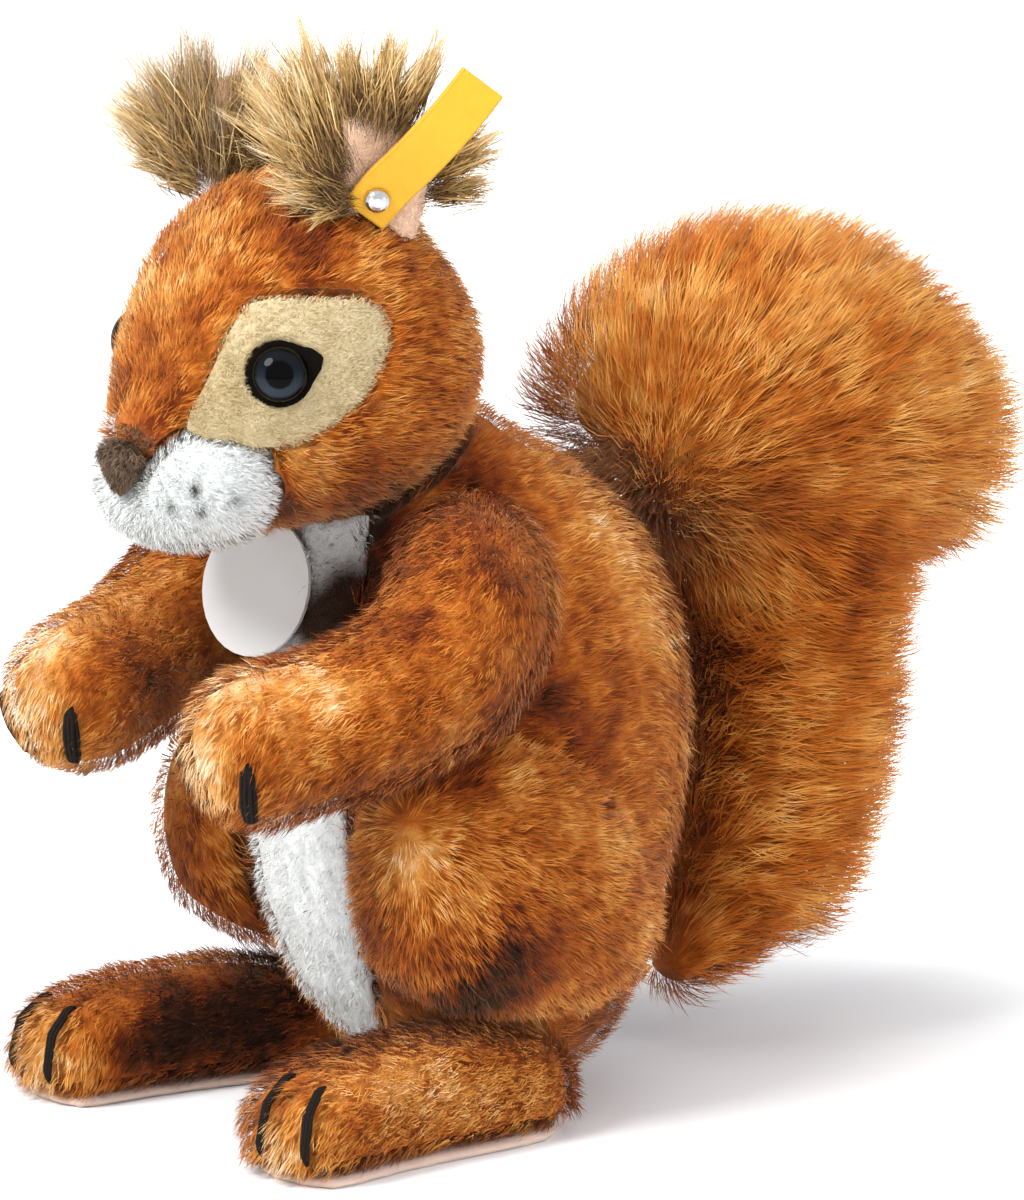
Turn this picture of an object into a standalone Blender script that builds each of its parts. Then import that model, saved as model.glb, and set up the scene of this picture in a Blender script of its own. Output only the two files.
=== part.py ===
"""A sitting plush squirrel: stuffed body, head, limbs and tail, set-in face and belly panels, plastic
eyes with their washers, sewn claws, felt soles, a riveted ear ribbon and a card disc at the chest.

The lengths below are millimetres; the meshes are made in metres. The squirrel looks towards -Y and its
left side is +X. Every stuffed piece is a loft: a table gives the middle, the half width and the half
height of each ring, and a smooth curve is drawn through the rows."""

import math

import bmesh
import bpy
from mathutils import Matrix, Vector
from mathutils.bvhtree import BVHTree

MM = 0.001
GAP = 0.3  # between pieces that touch
OVERSHOOT = 3.0  # how far a cutter reaches past what it cuts
LOOK_FROM = 60.0  # how far outside a line that looks for a skin starts

# Torso: rows of height, front, back and half width.
TORSO_ROWS = (
    (12.0, -50.0, 6.0, 28.0),
    (28.0, -63.0, 13.0, 35.0),
    (48.0, -70.0, 19.0, 38.5),
    (70.0, -72.0, 25.0, 38.5),
    (92.0, -70.0, 23.0, 36.5),
    (112.0, -66.0, 16.0, 33.0),
    (128.0, -62.0, -2.0, 28.0),
    (139.0, -58.0, -20.0, 22.0),
)
TORSO_BOTTOM_ROUND = 9.0
TORSO_TOP_ROUND = 6.0

# Head: rows of place along the muzzle-to-neck line, top, bottom and half width.
HEAD_ROWS = (
    (-103.5, 151.0, 134.0, 9.5),
    (-99.0, 163.0, 128.0, 16.5),
    (-92.0, 176.0, 123.5, 24.0),
    (-82.0, 186.0, 121.5, 30.0),
    (-70.0, 191.0, 121.5, 33.5),
    (-57.0, 190.0, 122.5, 33.5),
    (-46.0, 184.0, 126.0, 30.5),
    (-38.5, 174.0, 133.0, 25.0),
)
SNOUT_ROUND = 4.5
NAPE_ROUND = 7.5

# Muzzle pad, side to side: rows of offset from the middle, centre along y, centre height, half depth
# and half height.
MUZZLE_ROWS = (
    (0.0, -95.0, 127.5, 9.5, 7.5),
    (6.0, -95.5, 130.5, 10.0, 10.0),
    (12.0, -94.0, 133.0, 10.5, 12.0),
    (17.5, -91.0, 133.5, 9.5, 10.5),
)
MUZZLE_ROUND = 4.0
NOSE_WIDTH = 17.0
NOSE_HEIGHT = 12.0
NOSE_THICKNESS = 6.0
NOSE_ABOVE_MUZZLE = 9.0  # its middle above the middle of the muzzle
NOSE_PROUD = 1.2
# Nose outline: rows of share of the half height, share of the width and share of the thickness.
NOSE_ROWS = (
    (-0.75, 0.28, 0.7),
    (-0.2, 0.7, 0.95),
    (0.35, 1.0, 1.0),
    (0.7, 0.82, 0.85),
)

# Set-in panels lie below the pile of the plush around them.
PANEL_SUNK = 2.0
PANEL_THICKNESS = 2.0
BELLY_OUTLINE = (
    (0.0, 12.0),
    (11.0, 20.0),
    (15.5, 36.0),
    (16.5, 56.0),
    (16.0, 84.0),
    (15.0, 112.0),
    (11.0, 134.0),
)
# Eye patch outline about the eye, seen along the eye's axis: x runs backwards and y up.
EYE_PATCH_OUTLINE = (
    (-18.5, -11.0),
    (-13.5, 0.5),
    (-6.5, 13.5),
    (5.0, 14.5),
    (18.0, 13.6),
    (20.8, 5.0),
    (14.0, -7.0),
    (3.0, -13.6),
    (-8.0, -14.2),
)

EYE_DIAMETER = 10.8
EYE_DOME = 3.8
EYE_SHANK_DIAMETER = 2.6
EYE_SHANK_LENGTH = 9.0
EYE_ABOVE_MUZZLE = 11.0  # its middle above the top of the muzzle
EYE_ALONG = -85.0
EYE_SIDE = 24.0
EYE_AZIMUTH = 54.0  # from straight ahead towards the side
EYE_TILT = 8.0  # upwards
EYE_RIM_DIAMETER = 13.0
EYE_RIM_THICKNESS = 0.9
EYE_RIM_CORNER = 2.6  # how far the rear corner of the rim stands out
EYE_RIM_CORNER_ANGLE = 22.0  # above the horizontal
EYE_RIM_CORNER_SHARPNESS = 14
EYE_EDGE = 0.5  # of the eye below its dome
EYE_SEAT_DEPTH = 1.2  # the rim is pressed this far below the middle of the patch
WASHER_DIAMETER = 8.0
WASHER_THICKNESS = 1.0
WASHER_DEPTH = 2.0  # behind the patch

EAR_SIDE = 20.0
EAR_ALONG = -60.0
EAR_SINK = 6.6  # of the base of the ear below the top of the head there
EAR_AZIMUTH = 60.0
EAR_LEAN = 14.0  # outwards
EAR_HEIGHT = 29.0
EAR_WIDTH = 21.0
EAR_THICKNESS = 6.0
EAR_DISH_DEPTH = 2.0
DISH_MIDDLE = 0.48  # of the ear's height
DISH_REACH = 0.44
# Ear outline: rows of share of the height and share of the width.
EAR_ROWS = (
    (0.0, 0.72),
    (0.3, 0.98),
    (0.55, 1.0),
    (0.8, 0.74),
)
EAR_BASE_ROUND = 3.0
EAR_BUTTON_HEIGHT = 11.0  # of the rivet above the base of the ear
TUFT_ROWS = (
    (2.0, 9.0, 6.0),
    (14.0, 17.0, 8.0),
    (24.0, 20.0, 8.0),
    (33.0, 17.0, 6.5),
)
TUFT_BASE_ROUND = 4.0
TUFT_TIP_ROUND = 5.0
TUFT_FORWARD = 4.0  # how far the tip of the tuft leans towards the face
TUFT_BEHIND_EAR = 8.0

BUTTON_DIAMETER = 5.0
BUTTON_DOME = 1.3
BUTTON_EDGE = 0.3  # of the head below its dome
BUTTON_SHANK_DIAMETER = 1.5
BUTTON_CLINCH_DIAMETER = 4.0
BUTTON_CLINCH_THICKNESS = 0.8
RIBBON_WIDTH = 10.0
RIBBON_THICKNESS = 0.4
RIBBON_LENGTH = 31.0  # from the rivet to the fold
RIBBON_END = 4.2  # past the rivet
RIBBON_ANGLE = 51.0  # above the horizontal, seen from the ear's open side
RIBBON_BOW = 3.0
RIBBON_LIFT = 1.0  # above the floor of the dish, to lie over the rim of the ear

TAG_DIAMETER = 28.0
TAG_THICKNESS = 0.8
TAG_HOLE_DIAMETER = 2.2
TAG_HOLE_INSET = 3.0  # from the edge to the middle of the hole
TAG_CHIN_CLEARANCE = 0.9  # above its upper edge
TAG_SIDE = -9.0
TAG_AZIMUTH = 13.0
TAG_TILT = 14.0
TAG_STAND_OFF = 0.6  # of its nearest edge from the chest
TAG_START = -200.0  # where the disc is brought in from, well ahead of the chest
TACK_DIAMETER = 1.0
TACK_KNOT_DIAMETER = 3.2

# Arms: rows along the arm of side, y, height and radius.
ARM_ROWS = (
    (22.0, -42.0, 118.0, 15.0),
    (35.0, -47.0, 111.0, 18.0),
    (41.0, -57.0, 100.0, 18.5),
    (38.5, -72.0, 91.5, 17.0),
    (34.0, -85.0, 87.5, 16.5),
    (31.0, -96.0, 85.0, 17.0),
)
PAW_ROUND = 15.0
ARM_ROOT_ROUND = 6.0
PAW_CLAW_ANGLES = (-48.0, 50.0)  # azimuths of the two sewn claws
PAW_CLAW_TOP = -2.0  # elevation of a claw's upper end
PAW_CLAW_BOTTOM = -50.0

# Haunches: rows of y, side, height, half width and half height.
HAUNCH_ROWS = (
    (-66.0, 35.0, 55.0, 13.5, 21.0),
    (-53.0, 34.0, 54.0, 18.0, 28.0),
    (-36.0, 33.0, 53.0, 19.5, 30.5),
    (-19.0, 31.0, 48.0, 18.0, 27.0),
    (-7.0, 28.0, 43.0, 13.0, 19.0),
)
HAUNCH_ROUND = 7.0

FOOT_LENGTH = 76.0
FOOT_SIDE = 33.0
FOOT_HEEL = -23.0  # y of the left heel
# Feet: rows of share of the length from the heel, half width and top height.
FOOT_ROWS = (
    (0.16, 12.5, 22.0),
    (0.38, 13.5, 25.5),
    (0.60, 13.5, 25.0),
    (0.78, 15.0, 23.5),
    (0.90, 14.5, 20.5),
)
FOOT_SQUARE = 2.6  # above 2 the rings are fuller than ellipses
FOOT_BOTTOM_DEPTH = 6.0  # of the rings below the floor, trimmed flat
LEFT_FOOT_YAW = 2.0
RIGHT_FOOT_YAW = 9.0
RIGHT_FOOT_FORWARD = 5.0
FOOT_CLAWS = {"left": (-0.5, 7.5), "right": (3.0, -6.5)}  # side offsets, outwards positive
FOOT_CLAW_LOW = 6.0
FOOT_CLAW_HIGH = 17.5
FOOT_CLAW_ALONG = 0.86  # where the lines that lay a claw out meet, as a share of the foot's length
FOOT_CLAW_LEAN = 45.0  # of the line to a claw's upper end
FOOT_CLAW_SPREAD = 3.0  # degrees of outward turn for each millimetre of side offset
SOLE_THICKNESS = 2.0
SOLE_INSET = 2.0
SOLE_END_INSET = 3.5
SOLE_EDGE_ROUND = 0.8

CLAW_THREAD = 1.5
CLAW_GROOVE = 4.4
CLAW_TIGHTEST = 0.8  # the sides of a groove are flats, so it is tighter than its diameter

# Tail: the brush rises behind the back (rows of y, height, half width, half depth) and opens into the
# curl (rows of y, bottom, top, half width).
BRUSH_ROWS = (
    (24.0, 14.0, 16.0, 13.0),
    (38.0, 26.0, 23.0, 22.0),
    (49.0, 48.0, 26.0, 26.0),
    (53.0, 76.0, 28.0, 26.5),
    (53.0, 104.0, 30.0, 28.0),
    (54.0, 128.0, 31.0, 31.0),
)
BRUSH_ROUND = 8.0
CURL_ROWS = (
    (6.0, 118.0, 154.0, 20.0),
    (20.0, 104.0, 166.0, 29.0),
    (40.0, 98.0, 171.5, 34.0),
    (60.0, 96.0, 171.0, 35.0),
    (80.0, 96.0, 163.0, 32.0),
    (96.0, 96.5, 147.0, 25.0),
)
CURL_ROUND = 9.0
TAIL_FLOOR = 0.0

TORSO_SIDES, TORSO_RINGS = 22, 9
HEAD_SIDES, HEAD_RINGS = 24, 10
LIMB_SIDES, LIMB_RINGS = 14, 8
TAIL_SIDES, TAIL_RINGS = 18, 8
EAR_SIDES, EAR_RINGS = 14, 6
CAP_RINGS = 3
ROUND_SIDES = 16
BORE_SIDES = 12
DOME_STEPS = 4
RIBBON_STEPS = 10
CLAW_SIDES, CLAW_POINTS = 6, 5
PANEL_POINTS = 22


def material(name, colour, roughness, metallic=0.0):
    """A plain material with one linear colour."""
    made = bpy.data.materials.new(name)
    made.use_nodes = True
    shader = made.node_tree.nodes["Principled BSDF"]
    shader.inputs["Base Color"].default_value = (*colour, 1.0)
    shader.inputs["Roughness"].default_value = roughness
    shader.inputs["Metallic"].default_value = metallic
    return made


def clear_scene():
    for obj in list(bpy.data.objects):
        bpy.data.objects.remove(obj, do_unlink=True)


def add_object(name, mesh_data, finish=None):
    """An object under the squirrel's empty. Without a finish it is a hidden helper."""
    obj = bpy.data.objects.new(name, mesh_data)
    bpy.context.collection.objects.link(obj)
    obj.parent = bpy.data.objects["squirrel"]
    if finish:
        mesh_data.materials.append(finish)
        mesh_data.shade_smooth()
        mesh_data.set_sharp_from_angle(angle=math.radians(40))
    else:
        obj.hide_render = True
        obj.display_type = "WIRE"
    return obj


def mesh_from(name, points, faces):
    """A closed mesh in metres from points in millimetres, its faces turned outwards."""
    shape = bmesh.new()
    verts = [shape.verts.new(Vector(point) * MM) for point in points]
    for face in faces:
        shape.faces.new([verts[i] for i in face])
    bmesh.ops.recalc_face_normals(shape, faces=shape.faces)
    made = bpy.data.meshes.new(name)
    shape.to_mesh(made)
    shape.free()
    return made


def modify(obj, operation, *cutters):
    for cutter in cutters:
        step = obj.modifiers.new(operation.title() + " " + cutter.name, "BOOLEAN")
        step.operation = operation
        step.object = cutter
        step.solver = "EXACT"


def cut(obj, *cutters):
    modify(obj, "DIFFERENCE", *cutters)


def keep(obj, *cutters):
    modify(obj, "INTERSECT", *cutters)


def join(obj, *others):
    modify(obj, "UNION", *others)


def curve_through(rows, count, closed=False):
    """Points evenly along a smooth curve through rows of numbers."""
    rows = [Vector(row) for row in rows]
    spans = len(rows) if closed else len(rows) - 1

    def row(i):
        if closed:
            return rows[i % len(rows)]
        if i < 0:
            return rows[0] * 2 - rows[1]
        if i >= len(rows):
            return rows[-1] * 2 - rows[-2]
        return rows[i]

    made = []
    for k in range(count):
        place = k * spans / (count if closed else count - 1)
        i = min(int(place), spans - 1)
        t = place - i
        a, b, c, d = row(i - 1), row(i), row(i + 1), row(i + 2)
        made.append(0.5 * (2 * b + (c - a) * t + (2 * a - 5 * b + 4 * c - d) * t**2
                           + (3 * b - a - 3 * c + d) * t**3))
    return made


def power(value, exponent):
    return math.copysign(abs(value) ** exponent, value)


def loft(name, rows, across, sides, rings, ends, normal=None, grow=0.0, square=2.0, floor=None):
    """A closed skin through rows of (x, y, z, half width, half height), with a dome of its own length
    on each end. The rings stand square to the normal, or to the path where none is given. grow
    offsets the skin, and what lies below the floor is pressed flat onto it."""
    path = curve_through(rows, rings)
    centres = [Vector(row[:3]) for row in path]
    points, ring_starts = [], []

    def tangent(k):
        if normal:
            return Vector(normal)
        return (centres[min(k + 1, rings - 1)] - centres[max(k - 1, 0)]).normalized()

    def ring(centre, along, half_width, half_height):
        width_axis = (Vector(across) - along * along.dot(Vector(across))).normalized()
        height_axis = along.cross(width_axis)
        ring_starts.append(len(points))
        for s in range(sides):
            angle = 2 * math.pi * (s + 0.5) / sides
            points.append(centre + width_axis * half_width * power(math.cos(angle), 2 / square)
                          + height_axis * half_height * power(math.sin(angle), 2 / square))

    def dome(k, length, sign):
        along = tangent(k)
        steps = range(CAP_RINGS - 1, 0, -1) if sign < 0 else range(1, CAP_RINGS)
        for step in steps:
            turn = math.pi / 2 * step / CAP_RINGS
            share = math.cos(turn)
            ring(centres[k] + along * sign * (length + grow) * math.sin(turn), along,
                 (path[k][3] + grow) * share, (path[k][4] + grow) * share)

    start_pole = centres[0] - tangent(0) * (ends[0] + grow)
    end_pole = centres[-1] + tangent(rings - 1) * (ends[1] + grow)
    dome(0, ends[0], -1)
    for k in range(rings):
        ring(centres[k], tangent(k), path[k][3] + grow, path[k][4] + grow)
    dome(rings - 1, ends[1], 1)
    faces = []
    for first, second in zip(ring_starts, ring_starts[1:]):
        for s in range(sides):
            t = (s + 1) % sides
            faces.append((first + s, first + t, second + t, second + s))
    points += [start_pole, end_pole]
    for s in range(sides):
        t = (s + 1) % sides
        faces.append((ring_starts[0] + t, ring_starts[0] + s, len(points) - 2))
        faces.append((ring_starts[-1] + s, ring_starts[-1] + t, len(points) - 1))
    if floor is not None:
        points = [Vector((p.x, p.y, max(p.z, floor))) for p in points]
    return mesh_from(name, points, faces)


def prism(name, outline, place, low, high, grow=0.0):
    """An outline in the xy plane of a placing matrix, extruded from low to high along its z axis."""
    middle = sum((Vector(p) for p in outline), Vector((0, 0))) / len(outline)
    spread = [Vector(p) + (Vector(p) - middle).normalized() * grow for p in outline]
    count = len(spread)
    points = [place @ Vector((p.x, p.y, height)) for height in (low, high) for p in spread]
    faces = [tuple(range(count)), tuple(range(2 * count - 1, count - 1, -1))]
    faces += [(i, (i + 1) % count, (i + 1) % count + count, i + count) for i in range(count)]
    return mesh_from(name, points, faces)


def turned(name, profile, place, sides=ROUND_SIDES):
    """A round solid about the z axis of a placing matrix. The profile is rows of (radius, z) from one
    end of the axis to the other."""
    points, faces, starts = [], [], []
    for radius, height in profile:
        starts.append(len(points))
        turns = 1 if radius == 0 else sides
        for s in range(turns):
            angle = 2 * math.pi * s / sides
            points.append(place @ Vector((radius * math.cos(angle), radius * math.sin(angle), height)))
    for k in range(len(profile) - 1):
        here, there = starts[k], starts[k + 1]
        for s in range(sides):
            t = (s + 1) % sides
            if profile[k][0] == 0:
                faces.append((here, there + s, there + t))
            elif profile[k + 1][0] == 0:
                faces.append((here + s, there, here + t))
            else:
                faces.append((here + s, there + s, there + t, here + t))
    return mesh_from(name, points, faces)


def dome_profile(radius, base, height):
    """Rows of (radius, z) for a domed top, from its edge to its middle."""
    turns = [math.pi / 2 * k / DOME_STEPS for k in range(DOME_STEPS)]
    rows = [(radius * math.cos(turn), base + height * math.sin(turn)) for turn in turns]
    return rows + [(0, base + height)]


def rod(name, radius, low, high, place, sides=ROUND_SIDES):
    return turned(name, ((0, low), (radius, low), (radius, high), (0, high)), place, sides)


def tube(name, path, radius, sides):
    """A round-ended tube along points that run mostly up and down."""
    rows = [(*point, radius, radius) for point in path]
    return loft(name, rows, (1, 0, 0), sides, len(path), (radius, radius))


def facing(origin, azimuth, tilt=0.0):
    """A placing matrix whose z axis looks out along an azimuth, with y upwards and x to the right of
    someone who looks at it."""
    a, e = math.radians(azimuth), math.radians(tilt)
    out = Vector((math.sin(a) * math.cos(e), -math.cos(a) * math.cos(e), math.sin(e)))
    right = Vector((math.cos(a), math.sin(a), 0))
    up = out.cross(right)
    turn = Matrix((right, up, out)).transposed().to_4x4()
    return Matrix.Translation(Vector(origin)) @ turn


def surface_hit(mesh_data, origin, direction):
    """Where a line from outside first meets a mesh, in millimetres."""
    shape = bmesh.new()
    shape.from_mesh(mesh_data)
    tree = BVHTree.FromBMesh(shape)
    shape.free()
    spot = tree.ray_cast(Vector(origin) * MM, Vector(direction).normalized())[0]
    if spot is None:
        raise ValueError("a line from " + str(tuple(origin)) + " misses " + mesh_data.name)
    return spot / MM


def mirrored(outline):
    return [(-x, y) for x, y in reversed(outline)]


def torso_form(name, grow=0.0):
    rows = [(0, (front + back) / 2, height, half_width, (back - front) / 2)
            for height, front, back, half_width in TORSO_ROWS]
    return loft(name, rows, (1, 0, 0), TORSO_SIDES, TORSO_RINGS,
                (TORSO_BOTTOM_ROUND, TORSO_TOP_ROUND), normal=(0, 0, 1), grow=grow, square=2.1)


def head_form(name, grow=0.0):
    rows = [(0, along, (top + bottom) / 2, half_width, (top - bottom) / 2)
            for along, top, bottom, half_width in HEAD_ROWS]
    return loft(name, rows, (1, 0, 0), HEAD_SIDES, HEAD_RINGS, (SNOUT_ROUND, NAPE_ROUND),
                normal=(0, 1, 0), grow=grow, square=2.15)


def muzzle_form(name, grow=0.0):
    rows = [(-side, *rest) for side, *rest in reversed(MUZZLE_ROWS[1:])] + list(MUZZLE_ROWS)
    return loft(name, rows, (0, 1, 0), LIMB_SIDES, 2 * LIMB_RINGS - 5,
                (MUZZLE_ROUND, MUZZLE_ROUND), normal=(1, 0, 0), grow=grow)


def nose_form(name, front, grow=0.0):
    """A rounded triangle, wide at the top, its front face a little proud of the snout."""
    half = NOSE_HEIGHT / 2
    middle = front - NOSE_PROUD + NOSE_THICKNESS / 2
    height = MUZZLE_ROWS[0][2] + NOSE_ABOVE_MUZZLE
    rows = [(0, middle, height + share * half, NOSE_WIDTH / 2 * width, NOSE_THICKNESS / 2 * depth)
            for share, width, depth in NOSE_ROWS]
    ends = (half * (1 + NOSE_ROWS[0][0]), half * (1 - NOSE_ROWS[-1][0]))
    return loft(name, rows, (1, 0, 0), EAR_SIDES, EAR_RINGS, ends, normal=(0, 0, 1), grow=grow)


def arm_form(name, side, grow=0.0):
    rows = [(side * x, y, z, radius, radius) for x, y, z, radius in ARM_ROWS]
    return loft(name, rows, (1, 0, 0), LIMB_SIDES, LIMB_RINGS, (ARM_ROOT_ROUND, PAW_ROUND), grow=grow)


def haunch_form(name, side, grow=0.0):
    rows = [(side * x, y, z, half_width, half_height)
            for y, x, z, half_width, half_height in HAUNCH_ROWS]
    return loft(name, rows, (1, 0, 0), LIMB_SIDES + 2, LIMB_RINGS, (HAUNCH_ROUND, HAUNCH_ROUND),
                normal=(0, 1, 0), grow=grow)


def foot_place(side):
    """A placing matrix at the heel on the floor: x to the toes, y outwards, z up."""
    yaw = math.radians(LEFT_FOOT_YAW if side > 0 else RIGHT_FOOT_YAW)
    heel = FOOT_HEEL - (0 if side > 0 else RIGHT_FOOT_FORWARD)
    ahead = Vector((side * math.sin(yaw), -math.cos(yaw), 0))
    outwards = Vector((side * math.cos(yaw), math.sin(yaw), 0))
    turn = Matrix((ahead, outwards, Vector((0, 0, 1)))).transposed().to_4x4()
    return Matrix.Translation((side * FOOT_SIDE, heel, 0)) @ turn


def foot_form(name, side, grow=0.0, floor=SOLE_THICKNESS + GAP):
    place = foot_place(side)
    rows = []
    for share, half_width, top in FOOT_ROWS:
        middle = place @ Vector((share * FOOT_LENGTH, 0, (top - FOOT_BOTTOM_DEPTH) / 2))
        rows.append((*middle, half_width, (top + FOOT_BOTTOM_DEPTH) / 2))
    ends = (FOOT_ROWS[0][0] * FOOT_LENGTH, (1 - FOOT_ROWS[-1][0]) * FOOT_LENGTH)
    ahead = place.to_3x3() @ Vector((1, 0, 0))
    return loft(name, rows, place.to_3x3() @ Vector((0, 1, 0)), LIMB_SIDES + 4, LIMB_RINGS, ends,
                normal=ahead, grow=grow, square=FOOT_SQUARE, floor=floor)


def sole_outline():
    """The footprint, drawn in from the widest outline of the foot, in the foot's own frame."""
    half = []
    for share, half_width, _ in FOOT_ROWS:
        half.append((share * FOOT_LENGTH, half_width - SOLE_INSET))
    heel = (SOLE_END_INSET, 0)
    toe = (FOOT_LENGTH - SOLE_END_INSET, 0)
    outline = [heel] + half + [toe] + [(x, -y) for x, y in reversed(half)]
    return [tuple(p) for p in curve_through(outline, PANEL_POINTS, closed=True)]


def brush_form(name, grow=0.0):
    rows = [(0, y, z, half_width, half_depth) for y, z, half_width, half_depth in BRUSH_ROWS]
    return loft(name, rows, (1, 0, 0), TAIL_SIDES, TAIL_RINGS, (BRUSH_ROUND, BRUSH_ROUND), grow=grow,
                floor=TAIL_FLOOR)


def curl_form(name, grow=0.0):
    rows = [(0, y, (top + bottom) / 2, half_width, (top - bottom) / 2)
            for y, bottom, top, half_width in CURL_ROWS]
    return loft(name, rows, (1, 0, 0), TAIL_SIDES + 2, TAIL_RINGS, (CURL_ROUND, CURL_ROUND),
                normal=(0, 1, 0), grow=grow)


def ear_place(side):
    """z out of the open side of the ear, y up its height, x to the right of someone facing it."""
    head = head_form("ear_ground")
    top = surface_hit(head, (side * EAR_SIDE, EAR_ALONG, HEAD_ROWS[0][1] + LOOK_FROM), (0, 0, -1))
    bpy.data.meshes.remove(head)
    return facing(top - Vector((0, 0, EAR_SINK)), side * EAR_AZIMUTH, -EAR_LEAN)


def ear_form(name, side, grow=0.0):
    place = ear_place(side)
    rows = []
    for share, width in EAR_ROWS:
        middle = place @ Vector((0, share * EAR_HEIGHT, 0))
        rows.append((*middle, EAR_WIDTH / 2 * width, EAR_THICKNESS / 2))
    turn = place.to_3x3()
    return loft(name, rows, turn @ Vector((1, 0, 0)), EAR_SIDES, EAR_RINGS,
                (EAR_BASE_ROUND, (1 - EAR_ROWS[-1][0]) * EAR_HEIGHT),
                normal=turn @ Vector((0, 1, 0)), grow=grow)


def dish_form(name, side):
    """What is scooped out of the ear's open side."""
    place = ear_place(side) @ Matrix.Translation((0, EAR_HEIGHT * DISH_MIDDLE, EAR_THICKNESS / 2))
    reach = EAR_HEIGHT * DISH_REACH
    profile = [(0, -EAR_DISH_DEPTH)]
    for k in range(1, 6):
        share = k / 5
        profile.append((reach * share, -EAR_DISH_DEPTH * (1 - share**2)))
    profile += [(reach * 1.3, OVERSHOOT), (0, OVERSHOOT)]
    squeeze = Matrix.Diagonal((EAR_WIDTH / EAR_HEIGHT * 0.98, 1, 1, 1))
    return turned(name, profile, place @ squeeze, ROUND_SIDES)


def tuft_form(name, side, grow=0.0):
    place = ear_place(side)
    rows = []
    for height, half_width, half_thickness in TUFT_ROWS:
        forward = TUFT_FORWARD * height / TUFT_ROWS[-1][0]
        middle = place @ Vector((-side * forward, height, -TUFT_BEHIND_EAR))
        rows.append((*middle, half_width, half_thickness))
    turn = place.to_3x3()
    return loft(name, rows, turn @ Vector((1, 0, 0)), EAR_SIDES, EAR_RINGS,
                (TUFT_BASE_ROUND, TUFT_TIP_ROUND),
                normal=turn @ Vector((0, 1, 0)), grow=grow)


def eye_place(side, patch_face):
    """On the patch, looking out along the eye's axis."""
    direction = facing((0, 0, 0), side * EYE_AZIMUTH, EYE_TILT).to_3x3() @ Vector((0, 0, 1))
    muzzle_top = max(middle + tall for _, _, middle, _, tall in MUZZLE_ROWS)
    aim = Vector((side * EYE_SIDE, EYE_ALONG, muzzle_top + EYE_ABOVE_MUZZLE))
    spot = surface_hit(patch_face, aim + direction * LOOK_FROM, -direction)
    return facing(spot - direction * EYE_SEAT_DEPTH, side * EYE_AZIMUTH, EYE_TILT)


def build_torso(finishes):
    torso = add_object("torso", torso_form("torso"), finishes["plush"])
    outline = [(-x, z) for x, z in reversed(BELLY_OUTLINE[1:])] + list(BELLY_OUTLINE)
    outline = [tuple(p) for p in curve_through(outline, PANEL_POINTS)]
    ahead = facing((0, 0, 0), 0)
    reach = -TORSO_ROWS[0][1]
    panel = add_object("belly_panel", torso_form("belly_panel", -PANEL_SUNK), finishes["white_plush"])
    core = add_object("torso_core", torso_form("torso_core", -PANEL_SUNK - PANEL_THICKNESS))
    deep_core = add_object("torso_deep_core",
                           torso_form("torso_deep_core", -PANEL_SUNK - PANEL_THICKNESS - GAP))
    shape = add_object("belly_shape", prism("belly_shape", outline, ahead, reach * 0.4, reach * 2))
    pocket = add_object("belly_pocket",
                        prism("belly_pocket", outline, ahead, reach * 0.4, reach * 2, GAP))
    keep(panel, shape)
    cut(panel, core)
    cut(pocket, deep_core)
    cut(torso, pocket)
    return torso, panel


def build_muzzle_and_nose(head, finishes):
    muzzle = add_object("muzzle", muzzle_form("muzzle"), finishes["white_plush"])
    front = HEAD_ROWS[0][0] - SNOUT_ROUND
    add_object("nose", nose_form("nose", front), finishes["nose"])
    nose_seat = add_object("nose_seat", nose_form("nose_seat", front, GAP))
    muzzle_seat = add_object("muzzle_seat", muzzle_form("muzzle_seat", GAP))
    cut(muzzle, nose_seat)
    cut(head, muzzle_seat, nose_seat)
    return muzzle_seat


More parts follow.
